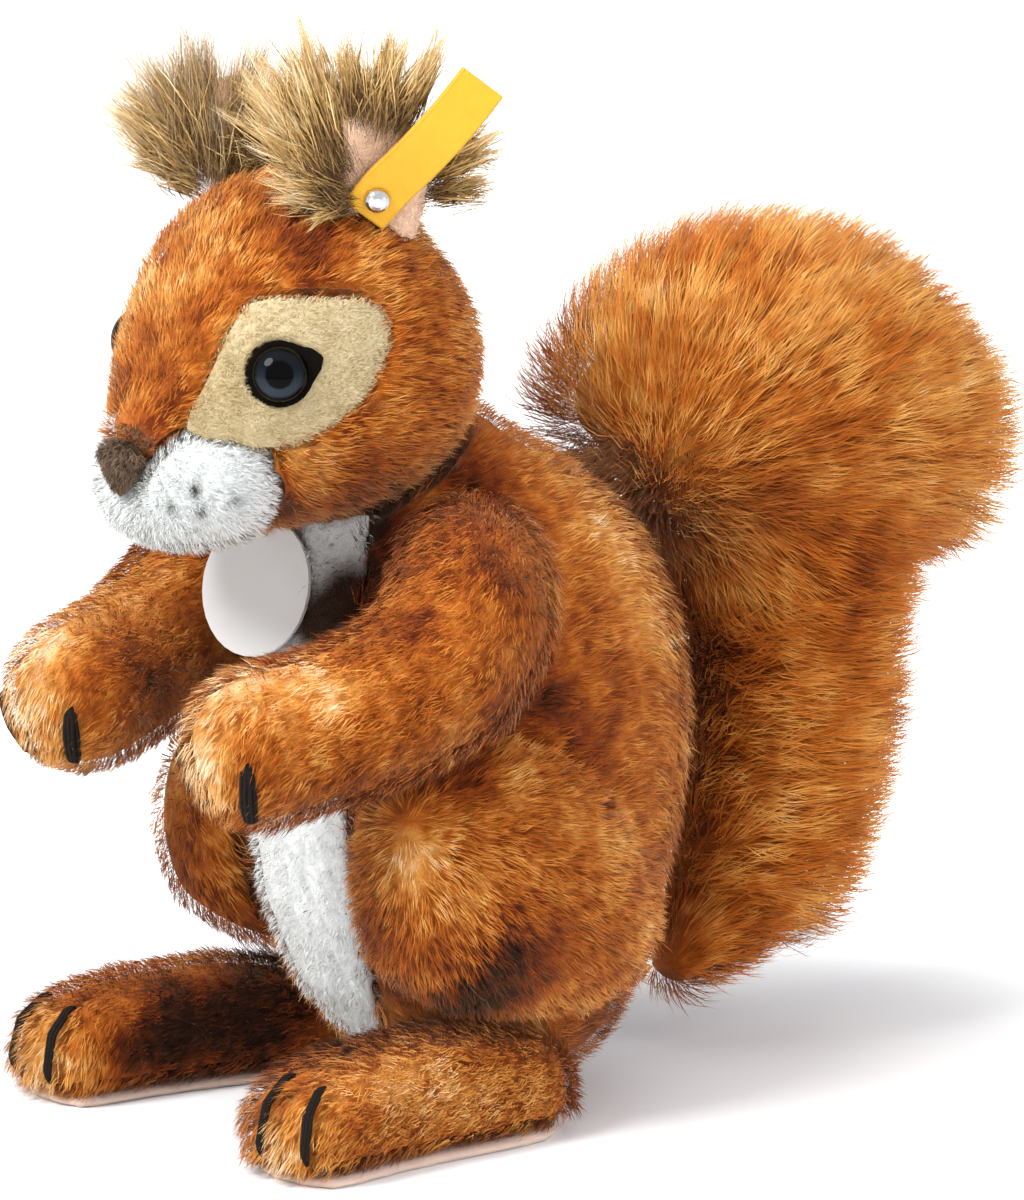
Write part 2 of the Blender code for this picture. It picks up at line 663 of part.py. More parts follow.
def build_eye(side, head, muzzle_seat, finishes):
    word = "left" if side > 0 else "right"
    face = head_form("patch_face_" + word, -PANEL_SUNK)
    place = eye_place(side, face)
    outline = EYE_PATCH_OUTLINE if side > 0 else mirrored(EYE_PATCH_OUTLINE)
    outline = [tuple(p) for p in curve_through(outline, PANEL_POINTS, closed=True)]
    patch = add_object("eye_patch_" + word, face, finishes["patch"])
    core = add_object("head_core_" + word,
                      head_form("head_core_" + word, -PANEL_SUNK - PANEL_THICKNESS))
    deep_core = add_object("head_deep_core_" + word,
                           head_form("head_deep_core_" + word, -PANEL_SUNK - PANEL_THICKNESS - GAP))
    reach = EYE_DIAMETER * 1.3
    shape = add_object("patch_shape_" + word,
                       prism("patch_shape_" + word, outline, place, -reach, reach))
    pocket = add_object("patch_pocket_" + word,
                        prism("patch_pocket_" + word, outline, place, -reach, reach, GAP))
    keep(patch, shape)
    cut(patch, core)
    cut(pocket, deep_core)
    cut(head, pocket)

    rim_radius = EYE_RIM_DIAMETER / 2
    rim_outline = []
    corner = math.radians(EYE_RIM_CORNER_ANGLE if side > 0 else 180 - EYE_RIM_CORNER_ANGLE)
    for k in range(PANEL_POINTS):
        angle = corner + 2 * math.pi * k / PANEL_POINTS
        towards_corner = max(0, math.cos(angle - corner))
        reach_out = rim_radius + EYE_RIM_CORNER * towards_corner**EYE_RIM_CORNER_SHARPNESS
        rim_outline.append((reach_out * math.cos(angle), reach_out * math.sin(angle)))
    rim = add_object("eye_rim_" + word,
                     prism("eye_rim_" + word, rim_outline, place, 0, EYE_RIM_THICKNESS),
                     finishes["felt"])
    rim_seat = add_object("eye_rim_seat_" + word,
                          prism("eye_rim_seat_" + word, rim_outline, place, -GAP, OVERSHOOT, GAP))
    radius, shank = EYE_DIAMETER / 2, EYE_SHANK_DIAMETER / 2
    back = EYE_RIM_THICKNESS + GAP
    tip = back - EYE_SHANK_LENGTH
    profile = [(0, tip), (shank, tip), (shank, back), (radius, back)]
    profile += dome_profile(radius, back + EYE_EDGE, EYE_DOME)
    add_object("eye_" + word, turned("eye_" + word, profile, place), finishes["eye"])
    bore = add_object("eye_bore_" + word,
                      rod("eye_bore_" + word, shank + GAP, tip - GAP, OVERSHOOT, place, BORE_SIDES))
    washer_low = EYE_SEAT_DEPTH - PANEL_THICKNESS - WASHER_DEPTH - WASHER_THICKNESS
    washer_radius = WASHER_DIAMETER / 2
    washer = add_object("eye_washer_" + word,
                        rod("eye_washer_" + word, washer_radius, washer_low,
                            washer_low + WASHER_THICKNESS, place), finishes["white_plastic"])
    room = add_object("washer_room_" + word,
                      rod("washer_room_" + word, washer_radius + GAP, washer_low - GAP,
                          washer_low + WASHER_THICKNESS + GAP, place))
    cut(washer, bore)
    cut(rim, bore)
    cut(patch, muzzle_seat, rim_seat, bore)
    cut(head, bore, room)


def ribbon_mesh(name, place):
    """One ribbon folded at its top, its two layers pinned together at the rivet."""
    layers = []
    half = RIBBON_THICKNESS / 2
    behind = RIBBON_THICKNESS + GAP
    for k in range(RIBBON_STEPS + 1):
        s = -RIBBON_END + (RIBBON_LENGTH + RIBBON_END) * k / RIBBON_STEPS
        free = max(0, s - BUTTON_DIAMETER / 2)
        layers.append((s, RIBBON_BOW * math.sin(math.pi * free / (RIBBON_LENGTH * 1.12))))
    end, rise = layers[-1]
    for k in (1, 2, 3):
        turn = math.pi * k / 4
        layers.append((end + behind / 2 * math.sin(turn), rise - behind / 2 * (1 - math.cos(turn))))
    for k in range(RIBBON_STEPS, 0, -1):
        s, bow = layers[k]
        if s > -RIBBON_END / 2:
            layers.append((s, bow - behind))
    line = [Vector(p) for p in layers]
    outer, inner = [], []
    for k, spot in enumerate(line):
        step = (line[min(k + 1, len(line) - 1)] - line[max(k - 1, 0)]).normalized()
        side = Vector((-step.y, step.x)) * half
        outer.append(spot + side)
        inner.append(spot - side)
    outline = outer + list(reversed(inner))
    angle = math.radians(RIBBON_ANGLE)
    along = Vector((math.cos(angle), math.sin(angle), 0))
    across = Vector((math.sin(angle), -math.cos(angle), 0))
    points = []
    for shift in (-RIBBON_WIDTH / 2, RIBBON_WIDTH / 2):
        for s, rise in outline:
            points.append(place @ (along * s + across * shift + Vector((0, 0, rise))))
    count = len(outline)
    faces = [(i, (i + 1) % count, (i + 1) % count + count, i + count) for i in range(count)]
    pairs = len(line)
    for k in range(pairs - 1):
        a, b, c, d = k, k + 1, count - 2 - k, count - 1 - k
        faces.append((a, b, c, d))
        faces.append((d + count, c + count, b + count, a + count))
    return mesh_from(name, points, faces)


def build_ear(side, head_seat, finishes):
    word = "left" if side > 0 else "right"
    ear = add_object("ear_" + word, ear_form("ear_" + word, side), finishes["velvet"])
    cut(ear, add_object("ear_dish_" + word, dish_form("ear_dish_" + word, side)), head_seat)
    tuft = add_object("ear_tuft_" + word, tuft_form("ear_tuft_" + word, side), finishes["mohair"])
    cut(tuft, head_seat, add_object("ear_seat_" + word, ear_form("ear_seat_" + word, side, GAP)))
    return ear, tuft


def build_button_and_ribbon(ear, tuft, head, finishes):
    """The rivet goes through the ribbon and the wall of the left ear, and is clinched behind it."""
    height = EAR_BUTTON_HEIGHT
    share = (height / EAR_HEIGHT - DISH_MIDDLE) / DISH_REACH
    floor = EAR_THICKNESS / 2 - EAR_DISH_DEPTH * (1 - share**2)
    stack = 2 * RIBBON_THICKNESS + GAP
    ribbon_front = floor + RIBBON_LIFT + stack
    place = ear_place(1) @ Matrix.Translation((0, height, 0))
    ribbon_place = place @ Matrix.Translation((0, 0, ribbon_front - RIBBON_THICKNESS / 2))
    ribbon = add_object("ear_ribbon", ribbon_mesh("ear_ribbon", ribbon_place), finishes["ribbon"])
    seat = ribbon_front + GAP
    back = -EAR_THICKNESS / 2 - GAP
    radius, shank, clinch = BUTTON_DIAMETER / 2, BUTTON_SHANK_DIAMETER / 2, BUTTON_CLINCH_DIAMETER / 2
    tip = back - BUTTON_CLINCH_THICKNESS
    profile = [(0, tip), (clinch, tip), (clinch, back), (shank, back), (shank, seat), (radius, seat)]
    profile += dome_profile(radius, seat + BUTTON_EDGE, BUTTON_DOME)
    add_object("ear_button", turned("ear_button", profile, place), finishes["nickel"])
    bore = add_object("button_bore",
                      rod("button_bore", shank + GAP, back - OVERSHOOT, seat + OVERSHOOT, place,
                          BORE_SIDES))
    clinch_room = add_object("button_clinch_room",
                             rod("button_clinch_room", clinch + GAP, tip - GAP, -EAR_THICKNESS / 4,
                                 place))
    cut(ear, bore)
    cut(ribbon, bore)
    cut(tuft, clinch_room)
    cut(head, clinch_room)


def build_tag(torso_face, finishes):
    """A card disc that hangs on the chest from a thread tack near its upper edge."""
    radius = TAG_DIAMETER / 2
    chin = min(bottom for _, _, bottom, _ in HEAD_ROWS)
    height = chin - TAG_CHIN_CLEARANCE - radius * math.cos(math.radians(TAG_TILT))
    ahead = facing((TAG_SIDE, TAG_START, height), TAG_AZIMUTH, TAG_TILT)
    room = []
    for k in range(ROUND_SIDES):
        angle = 2 * math.pi * k / ROUND_SIDES
        edge = ahead @ Vector((radius * math.cos(angle), radius * math.sin(angle), 0))
        room.append(surface_hit(torso_face, edge, (0, 1, 0)).y - edge.y)
    shift = TAG_START + min(room) - TAG_STAND_OFF
    place = facing((TAG_SIDE, shift, height), TAG_AZIMUTH, TAG_TILT)
    disc = add_object("chest_tag", rod("chest_tag", radius, 0, TAG_THICKNESS, place, 2 * ROUND_SIDES),
                      finishes["card"])
    hole = place @ Matrix.Translation((0, radius - TAG_HOLE_INSET, 0))
    cut(disc, add_object("tag_hole", rod("tag_hole", TAG_HOLE_DIAMETER / 2, -OVERSHOOT, OVERSHOOT, hole,
                                         BORE_SIDES)))
    thread, knot = TACK_DIAMETER / 2, TACK_KNOT_DIAMETER / 2
    out = hole.to_3x3() @ Vector((0, 0, 1))
    middle = hole @ Vector((0, 0, 0))
    landing = surface_hit(torso_face, middle, -out)
    reach = (landing - middle).length - GAP
    face = TAG_THICKNESS + GAP
    profile = [(0, -reach), (thread, -reach), (thread, face), (knot * 0.8, face)]
    profile += dome_profile(knot, face + knot * 0.3, knot * 0.7)
    add_object("tag_tack", turned("tag_tack", profile, hole, BORE_SIDES), finishes["thread"])


def claw_points(form, middle, directions):
    """Points on a limb's skin, met by lines drawn back from outside towards its middle."""
    found = []
    for direction in directions:
        found.append((surface_hit(form, middle + direction * LOOK_FROM, -direction), direction))
    return found


def build_claw(name, limb, spots, finishes):
    """A thread laid along a groove, which the stitch pulls into the plush."""
    groove = CLAW_GROOVE / 2
    thread = CLAW_THREAD / 2
    sunk = CLAW_TIGHTEST * groove - thread - GAP
    path = [spot for spot, _ in spots]
    laid = [spot - direction * sunk for spot, direction in spots]
    cut(limb, add_object(name + "_groove", tube(name + "_groove", path, groove, CLAW_SIDES + 2)))
    add_object(name, tube(name, laid, thread, CLAW_SIDES), finishes["claw"])


def build_arm(side, torso_seat, head_seat, finishes):
    word = "left" if side > 0 else "right"
    form = arm_form("arm_" + word, side)
    arm = add_object("arm_" + word, form, finishes["plush"])
    cut(arm, torso_seat, head_seat)
    x, y, z, _ = ARM_ROWS[-1]
    middle = Vector((side * x, y, z))
    for number, azimuth in enumerate(PAW_CLAW_ANGLES, 1):
        directions = []
        for k in range(CLAW_POINTS):
            tilt = PAW_CLAW_TOP + (PAW_CLAW_BOTTOM - PAW_CLAW_TOP) * k / (CLAW_POINTS - 1)
            directions.append(facing((0, 0, 0), azimuth, tilt).to_3x3() @ Vector((0, 0, 1)))
        build_claw(f"paw_claw_{word}_{number}", arm, claw_points(form, middle, directions), finishes)


def build_foot(side, seats, finishes):
    word = "left" if side > 0 else "right"
    place = foot_place(side)
    form = foot_form("foot_" + word, side)
    foot = add_object("foot_" + word, form, finishes["plush"])
    cut(foot, *seats)
    turn = place.to_3x3()
    for number, offset in enumerate(FOOT_CLAWS[word], 1):
        spots = []
        for k in range(CLAW_POINTS):
            height = FOOT_CLAW_LOW + (FOOT_CLAW_HIGH - FOOT_CLAW_LOW) * k / (CLAW_POINTS - 1)
            aim = place @ Vector((FOOT_LENGTH * FOOT_CLAW_ALONG, offset, height))
            tilt = math.radians(FOOT_CLAW_LEAN * k / (CLAW_POINTS - 1))
            spread = math.radians(offset * FOOT_CLAW_SPREAD)
            direction = turn @ Vector((math.cos(tilt) * math.cos(spread),
                                       math.cos(tilt) * math.sin(spread), math.sin(tilt)))
            spots.append((surface_hit(form, aim + direction * LOOK_FROM, -direction), direction))
        build_claw(f"foot_claw_{word}_{number}", foot, spots, finishes)
    outline = sole_outline() if side > 0 else [(x, -y) for x, y in reversed(sole_outline())]
    sole = add_object("sole_" + word, prism("sole_" + word, outline, place, 0, SOLE_THICKNESS),
                      finishes["sole_felt"])
    bevel = sole.modifiers.new("Soft edge", "BEVEL")
    bevel.width = SOLE_EDGE_ROUND * MM
    bevel.segments = 1
    bevel.limit_method = "ANGLE"
    bevel.angle_limit = math.radians(60)


def build_tail(torso_seat, haunch_seats, finishes):
    tail = add_object("tail", brush_form("tail"), finishes["tail_plush"])
    join(tail, add_object("tail_curl", curl_form("tail_curl")))
    cut(tail, torso_seat, *haunch_seats)


def centre_on_floor():
    """Moves the whole squirrel so that the box of its pieces stands centred on the origin."""
    bpy.context.view_layer.update()
    graph = bpy.context.evaluated_depsgraph_get()
    low = Vector((math.inf,) * 3)
    high = -low
    for obj in bpy.data.objects:
        if obj.type != "MESH" or obj.hide_render:
            continue
        evaluated = obj.evaluated_get(graph)
        for corner in evaluated.bound_box:
            spot = evaluated.matrix_world @ Vector(corner)
            low = Vector(map(min, low, spot))
            high = Vector(map(max, high, spot))
    middle = (low + high) / 2
    bpy.data.objects["squirrel"].location = (-middle.x, -middle.y, -low.z)


def main():
    clear_scene()
    holder = bpy.data.objects.new("squirrel", None)
    bpy.context.collection.objects.link(holder)
    finishes = {
        "plush": material("rust_plush", (0.42, 0.13, 0.03), 0.9),
        "tail_plush": material("tail_plush", (0.56, 0.22, 0.06), 0.9),
        "white_plush": material("white_plush", (0.80, 0.83, 0.84), 0.9),
        "patch": material("beige_plush", (0.58, 0.47, 0.28), 0.9),
        "mohair": material("ear_mohair", (0.30, 0.21, 0.11), 0.8),
        "velvet": material("ear_velvet", (0.72, 0.42, 0.28), 0.9),
        "nose": material("nose_plush", (0.06, 0.045, 0.04), 0.8),
        "felt": material("eye_felt", (0.01, 0.01, 0.01), 0.9),
        "eye": material("eye_glaze", (0.02, 0.024, 0.03), 0.05),
        "white_plastic": material("washer_plastic", (0.8, 0.8, 0.8), 0.4),
        "claw": material("claw_thread", (0.02, 0.018, 0.015), 0.6),
        "sole_felt": material("sole_felt", (0.72, 0.50, 0.40), 0.95),
        "nickel": material("button_nickel", (0.75, 0.75, 0.76), 0.2, 1.0),
        "ribbon": material("ribbon_yellow", (0.85, 0.50, 0.03), 0.6),
        "card": material("tag_card", (0.82, 0.82, 0.82), 0.5),
        "thread": material("tack_thread", (0.75, 0.73, 0.68), 0.7),
    }
    torso_seat = add_object("torso_seat", torso_form("torso_seat", GAP))
    head_seat = add_object("head_seat", head_form("head_seat", GAP))
    torso, panel = build_torso(finishes)
    cut(torso, head_seat)
    cut(panel, head_seat)
    head = add_object("head", head_form("head"), finishes["plush"])
    muzzle_seat = build_muzzle_and_nose(head, finishes)
    for side in (1, -1):
        build_eye(side, head, muzzle_seat, finishes)
    left_ear, left_tuft = build_ear(1, head_seat, finishes)
    build_ear(-1, head_seat, finishes)
    build_button_and_ribbon(left_ear, left_tuft, head, finishes)
    panel_face = torso_form("panel_face", -PANEL_SUNK)
    build_tag(panel_face, finishes)
    haunch_seats = []
    for side in (1, -1):
        word = "left" if side > 0 else "right"
        build_arm(side, torso_seat, head_seat, finishes)
        haunch = add_object("haunch_" + word, haunch_form("haunch_" + word, side), finishes["plush"])
        arm_seat = add_object("arm_seat_" + word, arm_form("arm_seat_" + word, side, GAP))
        cut(haunch, torso_seat, arm_seat)
        haunch_seat = add_object("haunch_seat_" + word, haunch_form("haunch_seat_" + word, side, GAP))
        build_foot(side, (haunch_seat, torso_seat), finishes)
        haunch_seats.append(haunch_seat)
    build_tail(torso_seat, haunch_seats, finishes)
    bpy.data.meshes.remove(panel_face)
    centre_on_floor()


main()
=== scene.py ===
"""Dresses the sitting plush squirrel: stuffed skins with pile sewn in, glazed eyes, felt, ribbon, card disc
and stitched claws, on a plain studio floor.

Lengths in the tables are millimetres. The squirrel looks towards -Y and its left side is +X."""

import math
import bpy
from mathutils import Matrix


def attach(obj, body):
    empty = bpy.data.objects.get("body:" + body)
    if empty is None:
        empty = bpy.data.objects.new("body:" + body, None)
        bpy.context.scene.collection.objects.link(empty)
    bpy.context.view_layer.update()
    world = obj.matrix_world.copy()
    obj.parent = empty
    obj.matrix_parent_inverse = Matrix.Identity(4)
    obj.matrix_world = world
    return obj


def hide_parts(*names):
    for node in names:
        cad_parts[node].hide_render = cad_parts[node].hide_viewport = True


bl_info = {
    "name": "Plush squirrel",
    "version": (1, 0, 0),
    "blender": (4, 5, 0),
    "location": "3D View > Sidebar > Squirrel",
    "description": "Makes the pile, fittings and studio of a sitting plush squirrel",
    "category": "Object",
}

import bmesh
import bpy
import numpy as np
from bpy.props import FloatProperty, FloatVectorProperty, IntProperty, PointerProperty
from mathutils import Matrix, Vector
from mathutils.bvhtree import BVHTree
from mathutils.kdtree import KDTree

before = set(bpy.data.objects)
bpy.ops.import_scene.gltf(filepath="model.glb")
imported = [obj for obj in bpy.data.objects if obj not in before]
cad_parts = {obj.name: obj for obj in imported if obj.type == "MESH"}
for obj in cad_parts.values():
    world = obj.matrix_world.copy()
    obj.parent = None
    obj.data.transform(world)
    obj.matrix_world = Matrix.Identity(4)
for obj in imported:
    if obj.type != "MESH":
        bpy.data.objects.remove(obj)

MM = 0.001
SIDES = (("left", 1), ("right", -1))


# Sizes and colours that a user would change.


def dye(code):
    """A linear colour from a six-figure colour code."""
    parts = [int(code[i:i + 2], 16) / 255 for i in (0, 2, 4)]
    return tuple(v / 12.92 if v <= 0.04045 else ((v + 0.055) / 1.055) ** 2.4 for v in parts)


def length_prop(name, description, default):
    return FloatProperty(name=name, description=description, default=default * MM, unit="LENGTH")


def colour_prop(name, description, code):
    return FloatVectorProperty(name=name, description=description, default=dye(code), size=3,
                               subtype="COLOR", min=0.0, max=1.0)


class SquirrelSizes(bpy.types.PropertyGroup):
    body_pile: length_prop("Body pile", "Length of the pile on the body, head and limbs", 5.2)
    body_nap: length_prop("Body nap", "How deep the backing lies under the tips on the body", 2.6)
    tail_pile: length_prop("Tail pile", "Length of the pile on the tail", 17.0)
    tail_nap: length_prop("Tail nap", "How deep the backing lies under the tips on the tail", 10.5)
    short_pile: length_prop("Short pile", "Length of the pile on the muzzle and the belly", 2.8)
    shorn_pile: length_prop("Shorn pile", "Length of the pile round the eyes and on the nose", 1.4)
    strand: length_prop("Strand", "Width of one lock of pile", 0.22)
    fullness: FloatProperty(name="Fullness", description="Share of the locks that are set", default=1.0,
                            min=0.02, max=1.5)
    seed: IntProperty(name="Seed", description="Start of the random numbers that place the pile", default=7)


class SquirrelColours(bpy.types.PropertyGroup):
    # Each pile's colour runs up its stops from its roots to its tips. The darkest stops, for the deepest
    # creases, the tail's depths and the depths round the eyes, are painted shade in creases and deep in the
    # pile. The light patches and palest tips are the plush's own colour and partly painted highlights on lit
    # crests.
    soot: colour_prop("Soot", "Deepest creases of the body pile", "2A0E05")
    rust: colour_prop("Rust", "Dark patches of the body pile", "7E340E")
    ginger: colour_prop("Ginger", "Middle colour of the body pile", "B4601A")
    golden: colour_prop("Golden", "Light patches of the body pile", "DC9C4C")
    straw: colour_prop("Straw", "Palest tips of the body pile", "FBE2BA")
    tail_deep: colour_prop("Tail depths", "Depths of the tail's pile", "8A3C0C")
    tail: colour_prop("Tail", "Middle colour of the tail", "BC641C")
    tail_tip: colour_prop("Tail tips", "Tips of the tail's pile", "E4A450")
    white: colour_prop("White", "Muzzle and belly", "E2E6E6")
    beige: colour_prop("Beige", "Patches round the eyes", "CCBA92")
    khaki: colour_prop("Khaki", "Depths of the pile round the eyes", "A08A5C")
    nose: colour_prop("Nose", "Pile of the nose", "6C5645")
    mohair: colour_prop("Ear hair", "Hair behind the ears", "C49E60")
    velvet: colour_prop("Velvet", "Inside of the ears", "EFCDB0")
    felt: colour_prop("Felt", "Soles of the feet", "E8CDBD")
    ribbon: colour_prop("Ribbon", "Ribbon in the ear", "E6AA16")
    card: colour_prop("Card", "Disc at the chest", "DEDFDE")
    thread: colour_prop("Thread", "Stitched claws", "120D0A")


def sizes():
    return bpy.context.scene.squirrel_sizes


def colours():
    return bpy.context.scene.squirrel_colours


# Material sums.


class Signal:
    """A socket in a material, so that sums of colours and numbers read as ordinary sums."""

    def __init__(self, tree, socket):
        self.tree = tree
        self.socket = socket

    def node(self, kind, out=0, settings=(), **inputs):
        """Adds any other node to the same material and returns one of its outputs."""
        made = self.tree.nodes.new(kind)
        for key, value in dict(settings).items():
            if key == "stops":
                set_stops(made.color_ramp, value)
            else:
                setattr(made, key, value)
        for key, value in inputs.items():
            slot = made.inputs[int(key[1:])] if key[0] == "i" and key[1:].isdigit() else made.inputs[key]
            if isinstance(value, Signal):
                self.tree.links.new(value.socket, slot)
            else:
                slot.default_value = value
        return Signal(self.tree, made.outputs[out])

    def sum(self, operation, *others):
        values = {"i" + str(i): v for i, v in enumerate((self, *others))}
        return self.node("ShaderNodeMath", settings={"operation": operation}, **values)

    def __add__(self, other):
        return self.sum("ADD", other)

    def __sub__(self, other):
        return self.sum("SUBTRACT", other)

    def __rsub__(self, other):
        return self * -1.0 + other

    def __mul__(self, other):
        return self.sum("MULTIPLY", other)

    __radd__ = __add__
    __rmul__ = __mul__

    def between(self, low, high):
        """0 below low, 1 above high, smooth between."""
        return self.node("ShaderNodeMapRange", settings={"interpolation_type": "SMOOTHSTEP"}, Value=self,
                         **{"From Min": low, "From Max": high})

    def mix(self, first, second):
        """From the first colour at 0 to the second at 1."""
        mixed = {"i0": self, "i6": opaque(first), "i7": opaque(second)}
        return self.node("ShaderNodeMix", out=2, settings={"data_type": "RGBA"}, **mixed)

    def ramp(self, stops):
        """A colour that runs through stops, each a place from 0 to 1 and a colour."""
        return self.node("ShaderNodeValToRGB", settings={"stops": stops}, Fac=self)


def opaque(colour):
    return colour if isinstance(colour, Signal) else (*tuple(colour)[:3], 1.0)


def set_stops(ramp, stops):
    while len(ramp.elements) < len(stops):
        ramp.elements.new(1.0)
    for element, (place, colour) in zip(ramp.elements, stops):
        element.position = place
        element.color = opaque(colour)


class Finish:
    """A new material with one Principled shader."""

    def __init__(self, name, roughness, **constants):
        self.material = bpy.data.materials.new(name)
        self.material.use_nodes = True
        self.tree = self.material.node_tree
        self.shader = self.tree.nodes["Principled BSDF"]
        self.shader.inputs["Roughness"].default_value = roughness
        for key, value in constants.items():
            self.shader.inputs[key.replace("_", " ")].default_value = value
        self.place = Signal(self.tree, self.tree.nodes.new("ShaderNodeTexCoord").outputs["Object"])

    def attribute(self, name):
        made = self.tree.nodes.new("ShaderNodeAttribute")
        made.attribute_name = name
        return Signal(self.tree, made.outputs["Fac"])

    def noise(self, size, detail=3.0, rough=0.55, where=None):
        """Cloudy noise from 0 to 1, its patches about as wide as size in millimetres."""
        return self.place.node("ShaderNodeTexNoise", Vector=where or self.place, Scale=1 / (size * MM),
                               Detail=detail, Roughness=rough)

    def set(self, key, value):
        if isinstance(value, Signal):
            self.tree.links.new(value.socket, self.shader.inputs[key])
        else:
            self.shader.inputs[key].default_value = value

    def bump(self, height, distance, strength=1.0):
        """Raises the surface by up to distance in millimetres."""
        self.set("Normal", self.place.node("ShaderNodeBump", Height=height, Strength=strength,
                                           Distance=distance * MM))


def shaded(colour, share):
    return [min(1.0, v * share) for v in colour]


def speckled(name, roughness, grain, first, second, **constants):
    """A finish that wavers between two colours. grain is how wide its patches are, and how they break up."""
    finish = Finish(name, roughness, **constants)
    finish.set("Base Color", finish.noise(*grain).mix(first, second))
    return finish


def pile_finish(name, stops, patch, mottle=0.85, reach=0.3, stray=0.1, gloss=0.75):
    """Pile whose colour climbs the stops from root to tip, so that its roots are darker, partly painted
    shade deep in the pile. The airbrushed spots with their painted shade and highlights, cloudy patches
    about as wide as patch in millimetres, and each lock's own tone shift it along them."""
    finish = Finish(name, gloss, Specular_IOR_Level=0.08, Sheen_Weight=0.25, Sheen_Roughness=0.5,
                    Sheen_Tint=opaque(colours().straw))
    place = finish.attribute("shade") + (finish.attribute("tone") - 0.5) * stray
    patches = finish.noise(patch, 2.0) - 0.5
    flecks = finish.noise(patch / 4, 2.0) - 0.5
    place = place + patches * mottle + flecks * (mottle / 2)
    finish.set("Base Color", (place + (finish.attribute("along") - 0.6) * reach).ramp(stops))
    return finish


def even_stops(*shades):
    """Colours set at even steps from 0 to 1."""
    return [(i / (len(shades) - 1), shade) for i, shade in enumerate(shades)]


# Modelling.

MERGE = 0.02
PROBE = Vector((0.31, 0.17, 0.94)).normalized()  # a line that runs along no flat face
PROBE_STEP = 1e-6
TUCK_DEPTH = 5.0  # how far a thin strip of skin between two pieces is drawn in
TUCK_REACH = 4.6


def select_only(*objs):
    if bpy.context.mode != "OBJECT":
        bpy.ops.object.mode_set(mode="OBJECT")
    bpy.ops.object.select_all(action="DESELECT")
    for obj in objs:
        obj.select_set(True)
        bpy.context.view_layer.objects.active = obj


def apply_modifier(obj, kind, **settings):
    select_only(obj)
    made = obj.modifiers.new(kind.title(), kind)
    for key, value in settings.items():
        setattr(made, key, value)
    bpy.ops.object.modifier_apply(modifier=made.name)


def vectors_of(rows, key):
    found = np.empty(len(rows) * 3)
    rows.foreach_get(key, found)
    return found.reshape(-1, 3)


def points_of(obj):
    return vectors_of(obj.data.vertices, "co")


def normals_of(obj):
    return vectors_of(obj.data.vertex_normals, "vector")


def move_points(obj, points):
    obj.data.vertices.foreach_set("co", points.astype(np.float32).ravel())
    obj.data.update()


def solid_copy(name, node):
    """The node's solid as a mesh of its own, its loose triangles merged."""
    made = bpy.data.objects.new(name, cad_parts[node].data.copy())
    bpy.context.scene.collection.objects.link(made)
    made.data.materials.clear()
    shape = bmesh.new()
    shape.from_mesh(made.data)
    bmesh.ops.remove_doubles(shape, verts=shape.verts, dist=MERGE * MM)
    shape.to_mesh(made.data)
    shape.free()
    return made


def stuffed(node, label, voxel, inset, rounds=6):
    """The sewn skin of a stuffed piece: the node's solid, evenly meshed, eased and drawn in under its
    pile. It takes the node's place."""
    skin = solid_copy(node + "_" + label, node)
    apply_modifier(skin, "REMESH", mode="VOXEL", voxel_size=voxel * MM)
    apply_modifier(skin, "SMOOTH", factor=0.5, iterations=rounds)
    if inset:
        steps = max(1, round(inset / (voxel * MM)))
        for _ in range(steps):
            move_points(skin, points_of(skin) - normals_of(skin) * inset / steps)
            apply_modifier(skin, "SMOOTH", factor=0.5, iterations=2)
    skin.data.shade_smooth()
    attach(skin, "root")
    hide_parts(node)
    return skin


def tuck(skin, *neighbours):
    """Draws a skin in towards its middle where only a thin strip of it runs between its neighbours."""
    points = points_of(skin)
    depth = np.full(len(points), TUCK_DEPTH * MM)
    for nodes in neighbours:
        tree = tree_of(nodes)
        away = np.array([tree.find_nearest(Vector(p))[3] for p in points]) / MM
        depth *= 1 - step(away, TUCK_REACH / 2, TUCK_REACH)
    move_points(skin, points + unit(points.mean(axis=0) - points) * depth[:, None])


def dress(obj, material):
    obj.data.materials.clear()
    obj.data.materials.append(material)
    return obj


def set_attribute(mesh, label, values):
    made = mesh.attributes.new(label, "FLOAT", "POINT")
    made.data.foreach_set("value", np.asarray(values, np.float32))


def airbrush(points, spots):
    """Where the pile at each point starts on its colour stops: 0.5, and lighter or darker in the spots,
    which hold airbrushing together with painted shade and painted highlights.
    """
    mirrored = np.abs(points[:, :1])
    points = np.concatenate([mirrored, points[:, 1:]], axis=1)
    shade = np.full(len(points), 0.5)
    for place, radius, strength in spots:
        away = np.linalg.norm(points - np.array(place) * MM, axis=1) / (radius * MM)
        shade += strength * np.exp(-(away ** 2))
    return shade


def back_with(skin, finish, spots=(), depth=0.35):
    """Gives a skin the finish of its pile at a depth from root to tip, with the nap as relief. A depth near
    the roots makes it darker: painted shade for the backing deep under the pile.
    """
    count = len(skin.data.vertices)
    set_attribute(skin.data, "shade", airbrush(points_of(skin), spots))
    set_attribute(skin.data, "along", np.full(count, depth))
    set_attribute(skin.data, "tone", np.full(count, 0.5))
    finish.bump(finish.noise(0.6, 3.0, 0.7), 0.4)
    dress(skin, finish.material)


def tree_of(nodes):
    points, faces = [], []
    for node in nodes:
        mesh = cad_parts[node].data
        start = len(points)
        points += [v.co.copy() for v in mesh.vertices]
        faces += [[start + i for i in p.vertices] for p in mesh.polygons]
    return BVHTree.FromPolygons(points, faces)


def enclosed(spot, tree):
    """Whether a point lies inside a solid, by how often a line from it meets the surface."""
    meetings = 0
    hit = tree.ray_cast(spot, PROBE)[0]
    while hit is not None:
        meetings += 1
        hit = tree.ray_cast(hit + PROBE * PROBE_STEP, PROBE)[0]
    return meetings % 2 == 1


